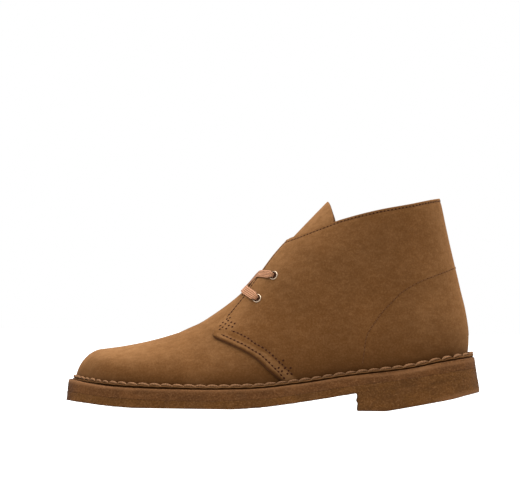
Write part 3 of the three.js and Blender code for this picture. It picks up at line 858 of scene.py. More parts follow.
class BootSizes(bpy.types.PropertyGroup):
    """Sizes of the boot's made pieces"""

    leather: length_setting("Suede", "Thickness of one layer of suede", 2.0)
    flange_reach: length_setting("Flange reach", "How far the turned-out edge reaches from the upper", 4.4)
    flange_height: length_setting("Flange height", "Height of the turned-out edge's top above the seat", 2.25)
    sole_reach: length_setting("Sole reach", "How far the sole reaches from the upper", 4.9)
    midsole: length_setting("Upper sheet", "Thickness of the upper crepe sheet", 8.3)
    outsole: length_setting("Lower sheet", "Thickness of the lower crepe sheet", 6.3)
    heel_breast: length_setting("Heel front", "Distance of the heel's front face from the toe", 212)
    heel_flat: length_setting("Heel flat", "Distance from the toe at which the heel leaves the floor", 229)
    lace_width: length_setting("Lace width", "Width of the flat lace", 6.6)
    lace_thickness: length_setting("Lace thickness", "Thickness of the flat lace", 1.0)
    eyelet_radius: length_setting("Eyelet radius", "Outer radius of an eyelet's rim", 3.4)
    eyelet_hole: length_setting("Eyelet hole", "Radius of the hole through an eyelet", 2.45)
    seam_pitch: length_setting("Seam pitch", "Length of a stitch along the quarters' edges", 3.1)
    collar_pitch: length_setting("Collar pitch", "Length of a stitch along the collar and facings", 2.75)
    welt_pitch: length_setting("Flange pitch", "Length of a stitch along the flange", 8.5)


class BootColours(bpy.types.PropertyGroup):
    """Colours of the boot's materials"""

    suede: colour_setting("Suede", "Main colour of the suede", (0.090, 0.0372, 0.0106))
    # The light suede colour also colours the painted light on the suede.
    suede_light: colour_setting("Light suede", "Colour of brushed or rubbed suede", (0.245, 0.125, 0.053))
    # The dark suede colour also colours the painted shade on the suede, towards the sole and under edges.
    suede_dark: colour_setting("Dark suede", "Colour of suede in its hollows", (0.028, 0.0095, 0.0015))
    flesh: colour_setting("Flesh side", "Colour of the suede's inside", (0.26, 0.14, 0.07))
    # The cut colour also makes the painted shadow lines under the quarters' edges.
    cut: colour_setting("Cut edge", "Colour of the suede's cut edge", (0.040, 0.014, 0.005))
    crepe: colour_setting("Crepe", "Main colour of the lower crepe", (0.078, 0.032, 0.0078))
    crepe_upper: colour_setting("Upper crepe", "Main colour of the upper crepe sheet", (0.080, 0.032, 0.0096))
    # The light crepe colour also colours the painted highlight band on the upper sheet.
    crepe_light: colour_setting("Light crepe", "Colour of the crepe's pale mottling", (0.165, 0.077, 0.032))
    # The dark crepe colour also colours the painted shade under the flange's lip.
    crepe_dark: colour_setting("Dark crepe", "Colour of dirt in the crepe", (0.030, 0.010, 0.003))
    lace: colour_setting("Lace", "Main colour of the lace", (0.295, 0.138, 0.070))
    thread: colour_setting("Thread", "Colour of the heavy flange thread", (0.168, 0.082, 0.036))
    fine_thread: colour_setting("Fine thread", "Colour of the seams' thread", (0.09, 0.038, 0.014))
    # The hole and mark colours are painted shade, for needle holes, eyelet insides and the counter's pricked
    # marks.
    hole: colour_setting("Stitch hole", "Colour inside the needle holes", (0.026, 0.008, 0.003))
    mark: colour_setting("Pricked mark", "Colour of the marks round the heel counter", (0.058, 0.023, 0.0075))
    sock: colour_setting("Sock", "Colour of the leather sock", (0.34, 0.20, 0.10))
    brass: colour_setting("Brass", "Colour of the eyelets", (0.46, 0.35, 0.25))
    floor: colour_setting("Floor", "Colour of the floor", (0.1, 0.1, 0.1))


def sizes():
    """The size settings in millimetres."""
    group = bpy.context.scene.boot_sizes
    return {name: getattr(group, name) / MM for name in BootSizes.__annotations__}


# ---------------------------------------------------------------------------
# The upper's layout, shared by the pieces that lie on it
# ---------------------------------------------------------------------------
def facing_base(side, s, leather):
    """Half the gap under the quarters' layer, so that the layer's outer edge keeps the throat's width."""
    half = throat(s)
    for _ in range(5):
        half = throat(s) - leather * np.abs(instep_normal(s, side * half)[..., 1])
    return half


def on_facing(side, s, leather, inward):
    """Place under the quarters' facing and its direction, at a distance back from the facing's edge."""
    y = side * (facing_base(side, s, leather) + inward)
    return instep(s, y), instep_normal(s, y)


def quarter_front(side, leather):
    """Turn of the quarters' front edge by level, on one side, for the base of their layer."""
    x = np.linspace(162, 106, 60)
    place, out = on_side(side, x, quarter_edge(x), leather)
    facing_place, _ = on_facing(side, np.arange(112.6, 216, 2.0), leather, 0.0)
    base = np.concatenate([place - out * leather, facing_place])
    turn, level = locate(base[:, 0], base[:, 2])
    order = np.argsort(level)
    return level[order], turn[order]


def quarter_turns(level, leather):
    """Turns at which the quarters begin on the outer side and end on the inner side, by level."""
    starts, ends = (quarter_front(side, leather) for side in SIDES)
    return np.interp(level, *starts), 2 * math.pi - np.interp(level, *ends)


def collar_level(turn, below):
    """Level at which the face of the quarters reaches a distance below the collar line."""

    def over(level):
        face = ring(turn, level) + ring_normal(turn, level) * QUARTER_LAYER
        return face[..., 2] - collar(face[..., 0]) + below

    return halve(np.full_like(turn, 0.6), np.full_like(turn, 1.2), over, 24)


def vamp_run(points):
    """Distance along the slope by which the vamp's rear edge is cut."""
    return 0.545 * points[..., 0] + 0.838 * points[..., 2]


def foot_shade(x, height):
    """How much painted shade darkens the suede towards the sole, by place and height above the seat."""
    height = np.maximum(height, 0)
    reach = mix(11.0, 21.5, smooth(x, 70, 160)) - 2.5 * smooth(x, 225, 255)
    strength = mix(0.68, 0.6, smooth(x, 190, 240))
    return np.clip(strength * np.exp(-((height / reach) ** 1.5)) + 0.38 * np.exp(-height / 3.5), 0, 1)


def stitch_groove(x, z):
    """Depth of the dips that the lower rows of stitches pull into the quarters."""
    dip = 0
    for row in LOWER_ROWS:
        first, last = row["x"][0], row["x"][-1]
        inside = smooth(x, first - 1, first + 2) * (1 - smooth(x, last, last + 3))
        dip = dip + 0.2 * inside * hump(z - Curve(row, "x", "z")(x), 0, 1.0625)
    return dip


def quarters_grid(leather, columns, rows):
    """Turns and levels of a grid over the quarters, fine along its edges."""
    u = steps(columns, 0.004, 0.004)
    v = steps(rows, 0.0, 0.009)[:, None]
    samples = np.linspace(0.02, 2 * math.pi - 0.02, 900)
    tops = collar_level(samples, 0.35)
    level = v * np.ones_like(u)
    for _ in range(14):
        turn = mix(*quarter_turns(level, leather), u)
        level = mix(level, v * np.interp(turn, samples, tops), 0.8)
    return turn, level


def flange_reach(plan, size):
    """How far the flange reaches, by place along the foot: short round the toe, a little uneven."""
    short = 2.3 * (1 - smooth(plan[:, 0], 7, 40))
    return size["flange_reach"] - short + 0.2 * noise(plan, 14.0, 12) + 0.08 * noise(plan, 4.0, 13)


def flange_top(plan, size):
    """Height of the flange's top above the seat, by place along the foot: lower under the arch."""
    x = plan[:, 0]
    return size["flange_height"] - 0.35 * smooth(x, 60, 100) * (1 - smooth(x, 245, 270))


# ---------------------------------------------------------------------------
# Operators
# ---------------------------------------------------------------------------
class BOOT_OT_vamp(bpy.types.Operator):
    """Build the vamp, whose rear edge runs under the quarters"""

    bl_idname = "boot.vamp"
    bl_label = "Vamp"

    def execute(self, context):
        leather = sizes()["leather"]
        columns, rows = 330, 118
        u = np.linspace(-1, 1, columns)
        turn = 1.72 * np.sign(u) * np.abs(u) ** 1.05
        low, high = np.zeros_like(turn), np.full_like(turn, 0.8)
        top = halve(low, high, lambda level: vamp_run(ring(turn, level)) - VAMP_END)
        level = steps(rows, 0.0, 0.012)[:, None] * np.maximum(top, 0.004)
        base, out = ring(turn, level), ring_normal(turn, level)
        x, y, z = np.moveaxis(base, -1, 0)
        run, height = run_along(base), z - seat(x)
        drop = rounded(run[-1] - run, 0.7)
        tuck = smooth(vamp_run(base), VAMP_END - 7, VAMP_END)
        lift = (creased(base) - 0.2) * smooth(height, 1, 8) - drop - tuck
        outer = base + out * lift[..., None]
        inner = base - out * (leather + tuck - 0.6 * drop)[..., None]
        s = instep_run(x, z)
        beside = np.abs(y - centre(x)) - throat(s)
        # Painted shade: darker towards the sole, a painted shadow under the quarters' lower edge and beside
        # the facing edges, and painted shade near the quarters' front corner.
        foot = foot_shade(x, height) + 0.5 * hump(quarter_edge(x) - z, 0, 0.8) * smooth(x, 103, 108)
        foot = foot + 0.5 * hump(beside, -0.8, 1.2) * smooth(s, 111, 114)
        foot = foot + 0.14 * hump(x, 102, 9) * hump(z, 48, 8)
        # Painted light: lighter higher up and on faces turned up or towards the toe; the noise adds random
        # wear.
        rubbed = 0.16 * smooth(height, 8, 30) + 0.1 * smooth(-out[..., 0], 0.3, 0.8)
        rubbed = rubbed + 0.4 * smooth(out[..., 2], 0.45, 1.0) * (1 - 0.75 * smooth(x, 45, 85))
        rubbed = rubbed + 0.08 * smooth(noise(base, 16.0, 8), -0.2, 0.8)
        make_layer("vamp", outer, inner, "upper", np.clip(foot, 0, 1), rubbed)
        return {"FINISHED"}


class BOOT_OT_quarters(bpy.types.Operator):
    """Build the quarters, one layer that runs round the back from facing to facing"""

    bl_idname = "boot.quarters"
    bl_label = "Quarters"

    def execute(self, context):
        leather = sizes()["leather"]
        turn, level = quarters_grid(leather, columns=330, rows=122)
        base, out = ring(turn, level), ring_normal(turn, level)
        x, y, z = np.moveaxis(base, -1, 0)
        along, up = run_along(base, 1), run_along(base)
        from_side, from_top = np.minimum(along, along[:, -1:] - along), up[-1] - up
        height, low_edge = z - seat(x), 1 - smooth(z, 50, 58)
        drop = np.maximum(rounded(from_side, 0.35), rounded(from_top, 0.6))
        calm = smooth(from_side, 2, 12) * smooth(from_top, 1, 10) * smooth(height, 1, 8)
        skived = 0.5 * low_edge * (1 - smooth(from_side, 0, 2.4))
        sprung = np.where(y < 0, 0.9, 0.1) * smooth(z, 98, 112) * (1 - smooth(from_side, 4, 18))
        dips = 0.22 * hump(from_top, 2.6, 1.0) + 0.2 * hump(from_side, 2.2, 0.9) * smooth(z, 52, 60)
        form = creased(base) * calm + sprung
        outer = base + out * (leather + form - stitch_groove(x, z) - skived - drop - dips)[..., None]
        inner = base + out * (0.05 + 0.5 * drop + form)[..., None]
        # Lighter: worn seam bands along the lower edge and random wear from the noise; painted light on faces
        # turned back, high on the shaft and on the front of the quarters near the facings; and along the
        # collar and facing edges and in patches near the front corner and at the rear.
        rubbed = 0.36 * low_edge * (1 - smooth(from_side, 9.5, 12.5)) * smooth(from_side, 1.0, 3.5)
        rubbed = rubbed + 0.3 * hump(x, 116, 8) * hump(z, 61, 5) + 0.2 * hump(x, 262, 22) * hump(z, 72, 20)
        rubbed = rubbed + 0.26 * (1 - smooth(from_side, 3, 30)) * smooth(z, 52, 66)
        rubbed = rubbed + 0.16 * (1 - smooth(from_side, 20, 85)) * smooth(z, 60, 95)
        rubbed = rubbed + 0.2 * (np.exp(-from_top / 1.2) + np.exp(-from_side / 1.2) * (1 - 0.8 * low_edge))
        rubbed = rubbed + 0.22 * smooth(out[..., 0], 0.35, 0.95) + 0.06 * smooth(z, 85, 110)
        rubbed = rubbed + 0.08 * smooth(noise(base, 22.0, 9), 0.1, 0.9)
        # Painted shade: darker towards the sole, a painted shadow line along the lower front edge, and
        # painted shade in the hollow at the rear of the shaft.
        foot = foot_shade(x, height) + 0.6 * low_edge * np.exp(-from_side / 0.55)
        foot = foot + 0.2 * hump(x, 241, 26) * hump(z, 127, 15)
        make_layer("quarters", outer, inner, "upper", foot, np.clip(rubbed, 0, 1))
        return {"FINISHED"}


class BOOT_OT_flange(bpy.types.Operator):
    """Build the upper's turned-out edge, which lies on the sole"""

    bl_idname = "boot.flange"
    bl_label = "Flange"

    def execute(self, context):
        size = sizes()
        columns = 820
        turn = around(columns)
        plan = ring(turn, 0.0)
        x = plan[:, 0]
        wall = size["leather"] * smooth(x, 156.5, 159.5)
        reach = flange_reach(plan, size)
        run = run_along(foot_line(turn, reach, 0.0, size["leather"]))
        ends = np.maximum(1 - smooth(x, 8, 26), smooth(x, 278, 289))
        waves = 0.12 * np.cos(run / size["welt_pitch"] * 2 * math.pi) + 0.1 * noise(plan, 14.0, 14)
        top = flange_top(plan, size) + waves - 0.55 * (1 - smooth(x, 7, 28))
        lip_thickness = 0.85 + 0.6 * smooth(x, 240, 288)
        rim = size["leather"] * quarter_share(x) + reach

        def at(out, height):
            return foot_line(turn, out, -height, 0.0)

        def on_wall(level, lift):
            return ring(turn, level) + ring_normal(turn, np.full_like(turn, level)) * (wall + lift)[:, None]

        wall_low, corner, shelf = on_wall(0.019, -0.12), at(wall + 0.1, top + 0.15), at(wall + 1.2, top)
        share = np.linspace(0, 1, 7)
        fillet = [(1 - t) ** 2 * wall_low + 2 * t * (1 - t) * corner + t * t * shelf for t in share]
        profile = [on_wall(0.027, -0.6), *fillet, at((wall + 1.2 + rim - 0.7) / 2, top)]
        lip = (-0.7, 0.0), (-0.35, 0.06), (-0.1, 0.22), (0.0, 0.46), (-0.05, 0.72), (-0.3, 0.92), (-0.8, 1.02)
        profile += [at(rim + step, top - down * lip_thickness) for step, down in lip]
        inside = np.maximum(rim - 1.9 + 1.25 * ends, wall - 0.5)
        under = top - 1.05 * lip_thickness
        profile += [at(inside + 0.3, under), at(inside, np.maximum(under - 0.2, 0.1))]
        profile += [at(inside, 0.0 * turn), at(wall - 0.8, 0.0 * turn)]
        rings = np.array(profile)
        row = np.arange(len(rings))[:, None]
        # Painted shade: the slot under the lip is darkened, less at the toe where it is shallow; the corner
        # between wall and flange and the rear of the lip are darkened too, over the shade towards the sole.
        slot = mix(0.1, 1.0, smooth(x, 16, 28))
        back = smooth(x, 210, 260)
        foot = foot_shade(rings[..., 0], rings[..., 2] - seat(rings[..., 0]))
        foot = mix(foot, 1.0, smooth(row, 3, 7) * (1 - smooth(row, 8, 10)))
        foot = mix(foot, 0.85, smooth(row, 7, 9)) * (1 - 0.9 * smooth(row, 10, 12))
        foot = mix(foot, slot, smooth(row, 13, 14.5))
        foot = np.maximum(foot, 0.3 * back * smooth(row, 10, 12) * (1 - smooth(row, 13, 15)))
        # Lighter along the lip's outer edge, and on the lip's underside at the toe where the slot is shallow.
        rubbed = np.clip(1 - np.abs(row - 12.5) / 1.8, 0, 1) * mix(0.6, 0.3, back)
        rubbed = rubbed + 0.6 * smooth(row, 14, 16) * (1 - slot)
        faces = grid_faces(len(rings), columns, closed=True, looped=True)[:, ::-1]
        fields = {"foot": foot, "rubbed": rubbed}
        make_piece("flange", rings, faces, ("Suede",), "suede", ("upper",), fields)
        return {"FINISHED"}


class BOOT_OT_quarter_edges(bpy.types.Operator):
    """Lay dark tubes along the quarters' lower front edges and facings: a painted shadow line under the
    edges, which also stands for their dark cut edge
    """

    bl_idname = "boot.quarter_edges"
    bl_label = "Quarter edges"

    def execute(self, context):
        leather = sizes()["leather"]
        sides, count = 10, 260
        angle = around(sides)[:, None]
        from_end = np.minimum(np.arange(count), np.arange(count)[::-1])
        thin = smooth(from_end, -2, 8)[:, None, None]
        x = np.linspace(160.5, 106.2, count)
        parts = []
        for side in SIDES:
            low_place, low_out = on_side(side, x, quarter_edge(x), leather)
            throat_place, throat_out = on_facing(side, np.linspace(113.2, 197, count), leather, 0.15)
            for middle, up, wide, tall in (
                (low_place - low_out * (leather - 0.55), low_out, 0.55, 0.62),
                (throat_place + throat_out * 0.95, throat_out, 0.5, 0.8),
            ):
                across = np.cross(up, unit(np.gradient(middle, axis=0)))
                round_it = across[:, None] * wide * np.cos(angle) + up[:, None] * tall * np.sin(angle)
                points = (middle[:, None] + round_it * thin).reshape(-1, 3)
                parts.append((points, tube_faces(count, sides)[:, ::-1]))
        make_piece("quarter_edges", *join(parts), ("Suede_cut_edge",), "suede")
        return {"FINISHED"}


class BOOT_OT_tongue(bpy.types.Operator):
    """Build the tongue, one layer of suede that stands up past the collar"""

    bl_idname = "boot.tongue"
    bl_label = "Tongue"

    def execute(self, context):
        leather = sizes()["leather"]
        columns, rows = 64, 150
        u = steps(columns, 0.02, 0.02) * 2 - 1
        s = mix(100.0, TONGUE_END, steps(rows, 0.0, 0.008)[:, None]) * np.ones_like(u)
        y = u * tongue_half(s)
        base, out = instep(s, y), instep_normal(s, y)
        from_side, from_top = (1 - np.abs(u)) * tongue_half(s), TONGUE_END - s
        drop = np.maximum(rounded(from_side, 0.6), rounded(from_top, 0.6)) * smooth(s, 110, 130)
        beside = np.abs(y) - throat(s)
        level = mix(-1.3, -0.2, smooth(s, 103, 113)) - 0.3 * smooth(s, 185, 200)
        level = mix(level, np.minimum(level, -0.5), smooth(beside, -1.5, 1.5) * (1 - smooth(s, 212, 222)))
        lift = level + creased(base) * (1 - smooth(s, 118, 135))
        lift = lift + 0.15 * noise(base, 15.0, 21) * smooth(s, 150, 190)
        outer = base + out * (lift - drop)[..., None]
        inner = base + out * (lift - leather * 0.85 + 0.5 * drop)[..., None]
        # Painted light: lighter on faces turned up or towards the toe and towards the tongue's top; the noise
        # adds random wear. The shadow below is painted shade beside the facing edges.
        rubbed = 0.16 + 0.2 * smooth(out[..., 2], 0.45, 1.0) + 0.1 * smooth(-out[..., 0], 0.3, 0.8)
        rubbed = rubbed + 0.08 * smooth(noise(base, 16.0, 8), -0.2, 0.8) + 0.26 * smooth(s, 185, 235)
        shadow = 0.6 * hump(beside, -0.8, 1.3) * smooth(s, 112, 118) * (1 - smooth(s, 205, 215))
        make_layer("tongue_leather", outer, inner, "tongue", shadow, rubbed)
        return {"FINISHED"}


def crinkled(points):
    """How far the crepe's walls stand out of their plain form."""
    out = 0.28 * noise(points * [1, 1, 2.0], 7.0, 31) + 0.13 * noise(points * [1, 1, 2.0], 2.2, 32)
    return out + 0.09 * noise(points * [1, 1, 3.0], 1.1, 33) - 0.1


def back_darkening(walls):
    """Darkening along the rearmost line of a wall of rings."""
    behind = walls[..., 0].max(1, keepdims=True) - walls[..., 0]
    return 0.75 * np.exp(-behind.ravel() / 1.2)


def make_sheet(name, node, look, top, bottom, rows, radii, shades):
    """A sheet of the sole between two depths, with the radii of its edges and a function for its shades."""
    columns, across = 840, 36
    turn = around(columns)
    thick = bottom - top
    ease = np.array([0.7, 0.35, 0.1, 0])
    depth = np.concatenate([[0, 0.1, 0.3, 0.6], np.linspace(1.0, thick - 1.2, rows), thick - ease])
    reach = sizes()["sole_reach"]
    rings = []
    for d, drop in zip(depth, rounded(depth, radii[0]) + rounded(thick - depth, radii[1])):
        reaches = (reach - drop, reach, reach + 1)
        line, near, far = (foot_line(turn, out, top + d, QUARTER_LAYER) for out in reaches)
        out = unit(far - near)
        line = line + out * crinkled(line)[:, None]
        if top == 0:
            line[:, 2] += 0.7 * (1 - smooth(line[:, 0], 3, 16)) * math.exp(-d / 1.5)
        rings.append(line)
    walls = np.array(rings)

    def lift(grid, share, upper):
        bump = 0.25 * noise(grid * [1, 1, 0.2], 5.0, 41) + 0.15 * noise(grid * [1, 1, 0.2], 1.8, 42)
        return (1 if upper else -1) * bump * smooth(share, 0, 0.06) * (1 - smooth(share, 0.94, 1))

    points, faces = capped(walls, across, 0, lift)
    if top > 0:
        points[:, 2] = np.maximum(points[:, 2], 0.0)
    wall = points[: len(walls) * columns]
    grime, rubbed = shades(np.repeat(np.linspace(0, 1, len(walls)), columns), wall)
    # Darker at the very toe.
    toe_darkening = 1.1 * np.exp(-np.maximum(wall[:, 0] - 1.2, 0) / 1.8)
    inside = (0, len(points) - len(wall))
    grime = np.pad(np.clip(grime + toe_darkening + back_darkening(walls), 0, 1), inside)
    fields = {"grime": grime, "rubbed": np.pad(rubbed, inside)}
    make_piece(name, points, faces, (look,), "crepe", (node,), fields)


class BOOT_OT_sole(bpy.types.Operator):
    """Build the two crepe sheets of the sole"""

    bl_idname = "boot.sole"
    bl_label = "Sole sheets"

    def execute(self, context):
        size = sizes()

        def upper_shades(level, p):
            x = p[:, 0]
            # Painted shade along the top edge, under the flange's lip; a dark joint line along the bottom
            # edge.
            grime = 0.6 * np.exp(-level / 0.04) + 0.3 * np.exp(-(1 - level) / 0.03)
            spot = hump(x, 258, 9) * hump(level, 0.25, 0.2) * (p[:, 1] < 0)
            # Painted highlight: a lighter band below the top edge. The spot above is wear, and the noise
            # random wear.
            band = mix(0.2, 0.34, smooth(x, 190, 235))
            lip = 0.85 * hump(level, band, 0.12) * (1 - 0.4 * smooth(x, 20, 60))
            return grime, np.clip(0.6 * spot + lip + 0.15 * smooth(noise(p, 9.0, 51), 0.2, 0.9), 0, 1)

        def lower_shades(level, p):
            # A dark joint line along the top edge, and darker towards the bottom ahead of the heel.
            low = smooth(level, 0.75, 1.0) * (1 - smooth(p[:, 0], 205, 216))
            return 0.3 * np.exp(-level / 0.03) + 0.4 * low, 0.12 * smooth(noise(p, 9.0, 52), 0.2, 0.9)

        seam = size["midsole"] + 0.15
        low = seam + size["outsole"] + 0.15
        upper = (0.0, seam - 0.02, 12, (1.2, 0.25), upper_shades)
        lower = (seam + 0.02, low, 9, (0.25, 0.12), lower_shades)
        make_sheet("crepe_upper_sheet", "midsole", "Crepe_upper", *upper)
        make_sheet("crepe_lower_sheet", "outsole", "Crepe", *lower)
        return {"FINISHED"}


class BOOT_OT_heel(bpy.types.Operator):
    """Build the crepe heel block with its rough front face and worn rear edge"""

    bl_idname = "boot.heel"
    bl_label = "Heel"

    def execute(self, context):
        size = sizes()
        top_depth = size["midsole"] + size["outsole"] + 0.32
        side_count, front_count, inner_count = 260, 90, 24

        def tread(x):
            """Height of the heel's underside: flat, then rising to the back."""
            d = np.maximum(x - size["heel_flat"], 0)
            return 0.2 * d * d / (d + 6) + 1.0 * smooth(x, 278, 297)

        def outline(depth):
            turn = np.linspace(0, 2 * math.pi, FINE_STEPS)
            line = foot_line(turn, size["sole_reach"], depth, QUARTER_LAYER)
            line = line[line[:, 0] >= size["heel_breast"]]
            line[0, 0] = line[-1, 0] = size["heel_breast"]
            run = run_along(line)
            side = places_at(line, run, np.linspace(0, run[-1], side_count))
            front = mix(side[-1], side[0], np.linspace(0, 1, front_count)[1:-1, None])
            return np.concatenate([side, front])

        top, low = outline(top_depth), outline(top_depth + 14.0)
        bottom = tread(mix(top, low, 0.8)[:, 0])
        height = top[:, 2] - bottom
        is_front = np.arange(len(top)) >= side_count
        near_top, near_bottom = [0, 0.01, 0.035, 0.07], [0.945, 0.975, 0.993, 1.0]
        share = np.concatenate([near_top, np.linspace(0.12, 0.9, 14), near_bottom])
        rows = []
        for t in share:
            fall = height * t / np.maximum(top[:, 2] - low[:, 2], 1e-6)
            line = mix(top, low, np.clip(fall, 0, 1.1)[:, None])
            line[:, 2] = mix(top[:, 2], bottom, t)
            out = unit((line - [255.0, 0.0, 0.0]) * [1, 1, 0])
            out[is_front] = [-1, 0, 0]
            torn = 0.55 * noise(line * [1, 0.7, 0.8], 3.2, 61) + 0.3 * noise(line, 1.2, 62)
            torn = torn + 1.9 * math.exp(-t / 0.05) + 0.55 * hump(t, 0.46, 0.1) - 0.5 * hump(t, 0.62, 0.1)
            edge_drop = rounded((1 - t) * height, mix(0.5, 1.6, smooth(line[:, 0], 285, 300)))
            rows.append(line + out * (np.where(is_front, torn, crinkled(line)) - edge_drop)[:, None])
        walls = np.array(rows)
        count, columns = walls.shape[:2]
        points, quads, fans = [walls.reshape(-1, 3)], [grid_faces(count, columns, closed=True)], []
        slant = np.polyfit(walls[0][:, 0], walls[0][:, 2], 2)
        for row, upper in ((0, True), (count - 1, False)):
            start = sum(len(p) for p in points)
            inward = np.linspace(0, 1, inner_count + 2)[1:, None]
            grid = mix(walls[row], np.array([250.0, 0.0, 0.0]), inward[..., None])
            if upper:
                grid[..., 2] = np.polyval(slant, grid[..., 0])
            else:
                bump = 0.2 * noise(grid * [1, 1, 0.2], 3.5, 71) * smooth(inward, 0, 0.1) * (inward < 1)
                grid[..., 2] = tread(grid[..., 0]) + bump
            points += [grid[:-1].reshape(-1, 3), grid[-1, :1]]
            lines = start + np.arange(inner_count * columns).reshape(inner_count, columns)
            lines = np.concatenate([row * columns + np.arange(columns)[None], lines])
            after = np.roll(lines, -1, axis=1)
            face = np.stack([lines[:-1], after[:-1], after[1:], lines[1:]], -1).reshape(-1, 4)
            fan = np.stack([lines[-1], after[-1], np.full(columns, start + inner_count * columns)], -1)
            quads.append(face[:, ::-1] if upper else face)
            fans.append(fan[:, ::-1] if upper else fan)
        points = np.concatenate(points)
        points[:, 2] = np.maximum(points[:, 2], 0.0)
        inside = (0, len(points) - count * columns)
        level = np.pad(np.repeat(share, columns), inside)
        grime = 0.3 * smooth(level, 0.75, 1.0) + np.pad(back_darkening(walls), inside)
        rubbed = 0.6 * smooth(level, 0.6, 0.95) * smooth(points[:, 0], 262, 280)
        rubbed = rubbed + 0.12 * smooth(noise(points, 9.0, 53), 0.2, 0.9)
        faces, fields = [np.concatenate(quads), np.concatenate(fans)], {"grime": grime, "rubbed": rubbed}
        make_piece("crepe_heel", points, faces, ("Crepe",), "crepe", ("heel",), fields)
        return {"FINISHED"}


class BOOT_OT_sock(bpy.types.Operator):
    """Build the insole with its leather sock"""

    bl_idname = "boot.sock"
    bl_label = "Insole and sock"

    def execute(self, context):
        columns, across = 560, 60
        turn = around(columns)
        grown = 2.0 * smooth(ring(turn, 0.0)[:, 0], 185, 230)
        profile = ((2.8, 0.4), (2.35, 0.5), (2.3, 1.6), (2.4, 2.4), (2.8, 2.8), (3.4, 2.85))
        rings = np.array([foot_line(turn, grown - inset, -height, 0.0) for inset, height in profile])

        def dish(grid, share, upper):
            """The sock's top, hollowed and a little uneven; its underside stays plain."""
            hollow = 0.5 * np.sin(math.pi * share) ** 0.8 * smooth(grid[..., 0], 60, 240)
            return 0.12 * noise(grid, 12.0, 81) - hollow if upper else 0.0

        points, faces = capped(rings, across, len(rings) - 1, dish)
        x, y = points[:, 0], points[:, 1]
        worn = np.clip(hump(x, 255, 24) * hump(y, 0, 18) + hump(x, 92, 26) * hump(y, 2, 26), 0, 1)
        make_piece("sock", points, faces, ("Sock_leather",), "insole_leather", ("insole",), {"rubbed": worn})
        return {"FINISHED"}


def eyelet_place(side, which, leather):
    """Middle of an eyelet on the quarters' face, and its direction."""
    x, z = EYELETS[which]
    return on_side(side, x, z, leather)


class BOOT_OT_eyelets(bpy.types.Operator):
    """Build the four rolled brass eyelets"""

    bl_idname = "boot.eyelets"
    bl_label = "Eyelets"

    def execute(self, context):
        size = sizes()
        rim, hole, leather = size["eyelet_radius"], size["eyelet_hole"], size["leather"]
        profile = (
            (hole + 0.5, -leather + 0.2), (hole + 0.1, -leather + 0.15), (hole, -leather * 0.6), (hole, -0.4),
            (hole + 0.03, 0.15), (hole + 0.14, 0.45), (hole + 0.34, 0.66), ((rim + hole) / 2, 0.72),
            (rim - 0.3, 0.62), (rim - 0.08, 0.4), (rim, 0.12), (rim - 0.12, -0.05), (rim - 0.4, -0.12),
            (hole + 0.6, -0.1), (hole + 0.55, -0.5),
        )
        sides = 56
        frames = [eyelet_place(side, which, leather) for side in SIDES for which in (0, 1)]
        places, outs = (np.array(values) for values in zip(*frames))
        frame_of_each = (places, np.tile([0.69, 0.0, 0.72], (4, 1)), outs)
        faces = grid_faces(len(profile), sides, closed=True, looped=True)
        points, faces = scatter(lathe(profile, sides), faces, *frame_of_each)
        radius, height = np.array(profile).T
        # Painted shade: the brass is darkened inside the barrel, where this field says.
        hollow = np.where(radius > hole + 0.55, 0.0, 1 - smooth(height, -0.6, 0.3))
        fields = {"hollow": np.tile(np.repeat(hollow, sides), 4)}
        nodes = [f"eyelet_{place}_{side}" for place in ("lower", "upper") for side in ("outer", "inner")]
        make_piece("eyelet_rings", points, faces, ("Worn_brass",), "eyelet_brass", nodes, fields)
        cup = ((0.3, 0.2), (0.55, 0.19), (0.8, 0.17), (0.97, 0.14), (0.97, -0.1), (0.55, -0.12), (0.3, -0.12))
        walls = lathe([(share * hole, up) for share, up in cup], sides)
        plug = np.concatenate([walls, [(0, 0, 0.2), (0, 0, -0.12)]])
        here, after = np.arange(sides), (np.arange(sides) + 1) % sides
        last = len(walls) - sides
        top = np.stack([np.full(sides, len(walls)), here, after], -1)
        low = np.stack([np.full(sides, len(walls) + 1), last + after, last + here], -1)
        points, quads = scatter(plug, grid_faces(len(cup), sides, closed=True), *frame_of_each)
        _, wedges = scatter(plug, np.concatenate([top, low]), *frame_of_each)
        make_piece("eyelet_shadows", points, [quads[:, ::-1], wedges[:, ::-1]], ("Needle_hole",), "suede")
        return {"FINISHED"}


def smooth_path(places, normals):
    """A Catmull-Rom path through places, with the direction of the band's face along it."""
    p = np.concatenate([[2 * places[0] - places[1]], places, [2 * places[-1] - places[-2]]])
    path, face = [], []
    for i, (a, b, c, d) in enumerate(zip(p, p[1:], p[2:], p[3:])):
        count = max(2, int(np.linalg.norm(c - b) / LACE_STEP))
        t = np.linspace(0, 1, count, endpoint=False)[:, None]
        cubic = (2 * a - 5 * b + 4 * c - d) * t**2 + (3 * b - a - 3 * c + d) * t**3
        path.append(0.5 * (2 * b + (c - a) * t + cubic))
        face.append(mix(normals[i], normals[i + 1], t * t * (3 - 2 * t)))
    return np.concatenate([*path, places[-1:]]), unit(np.concatenate([*face, normals[-1:]]))


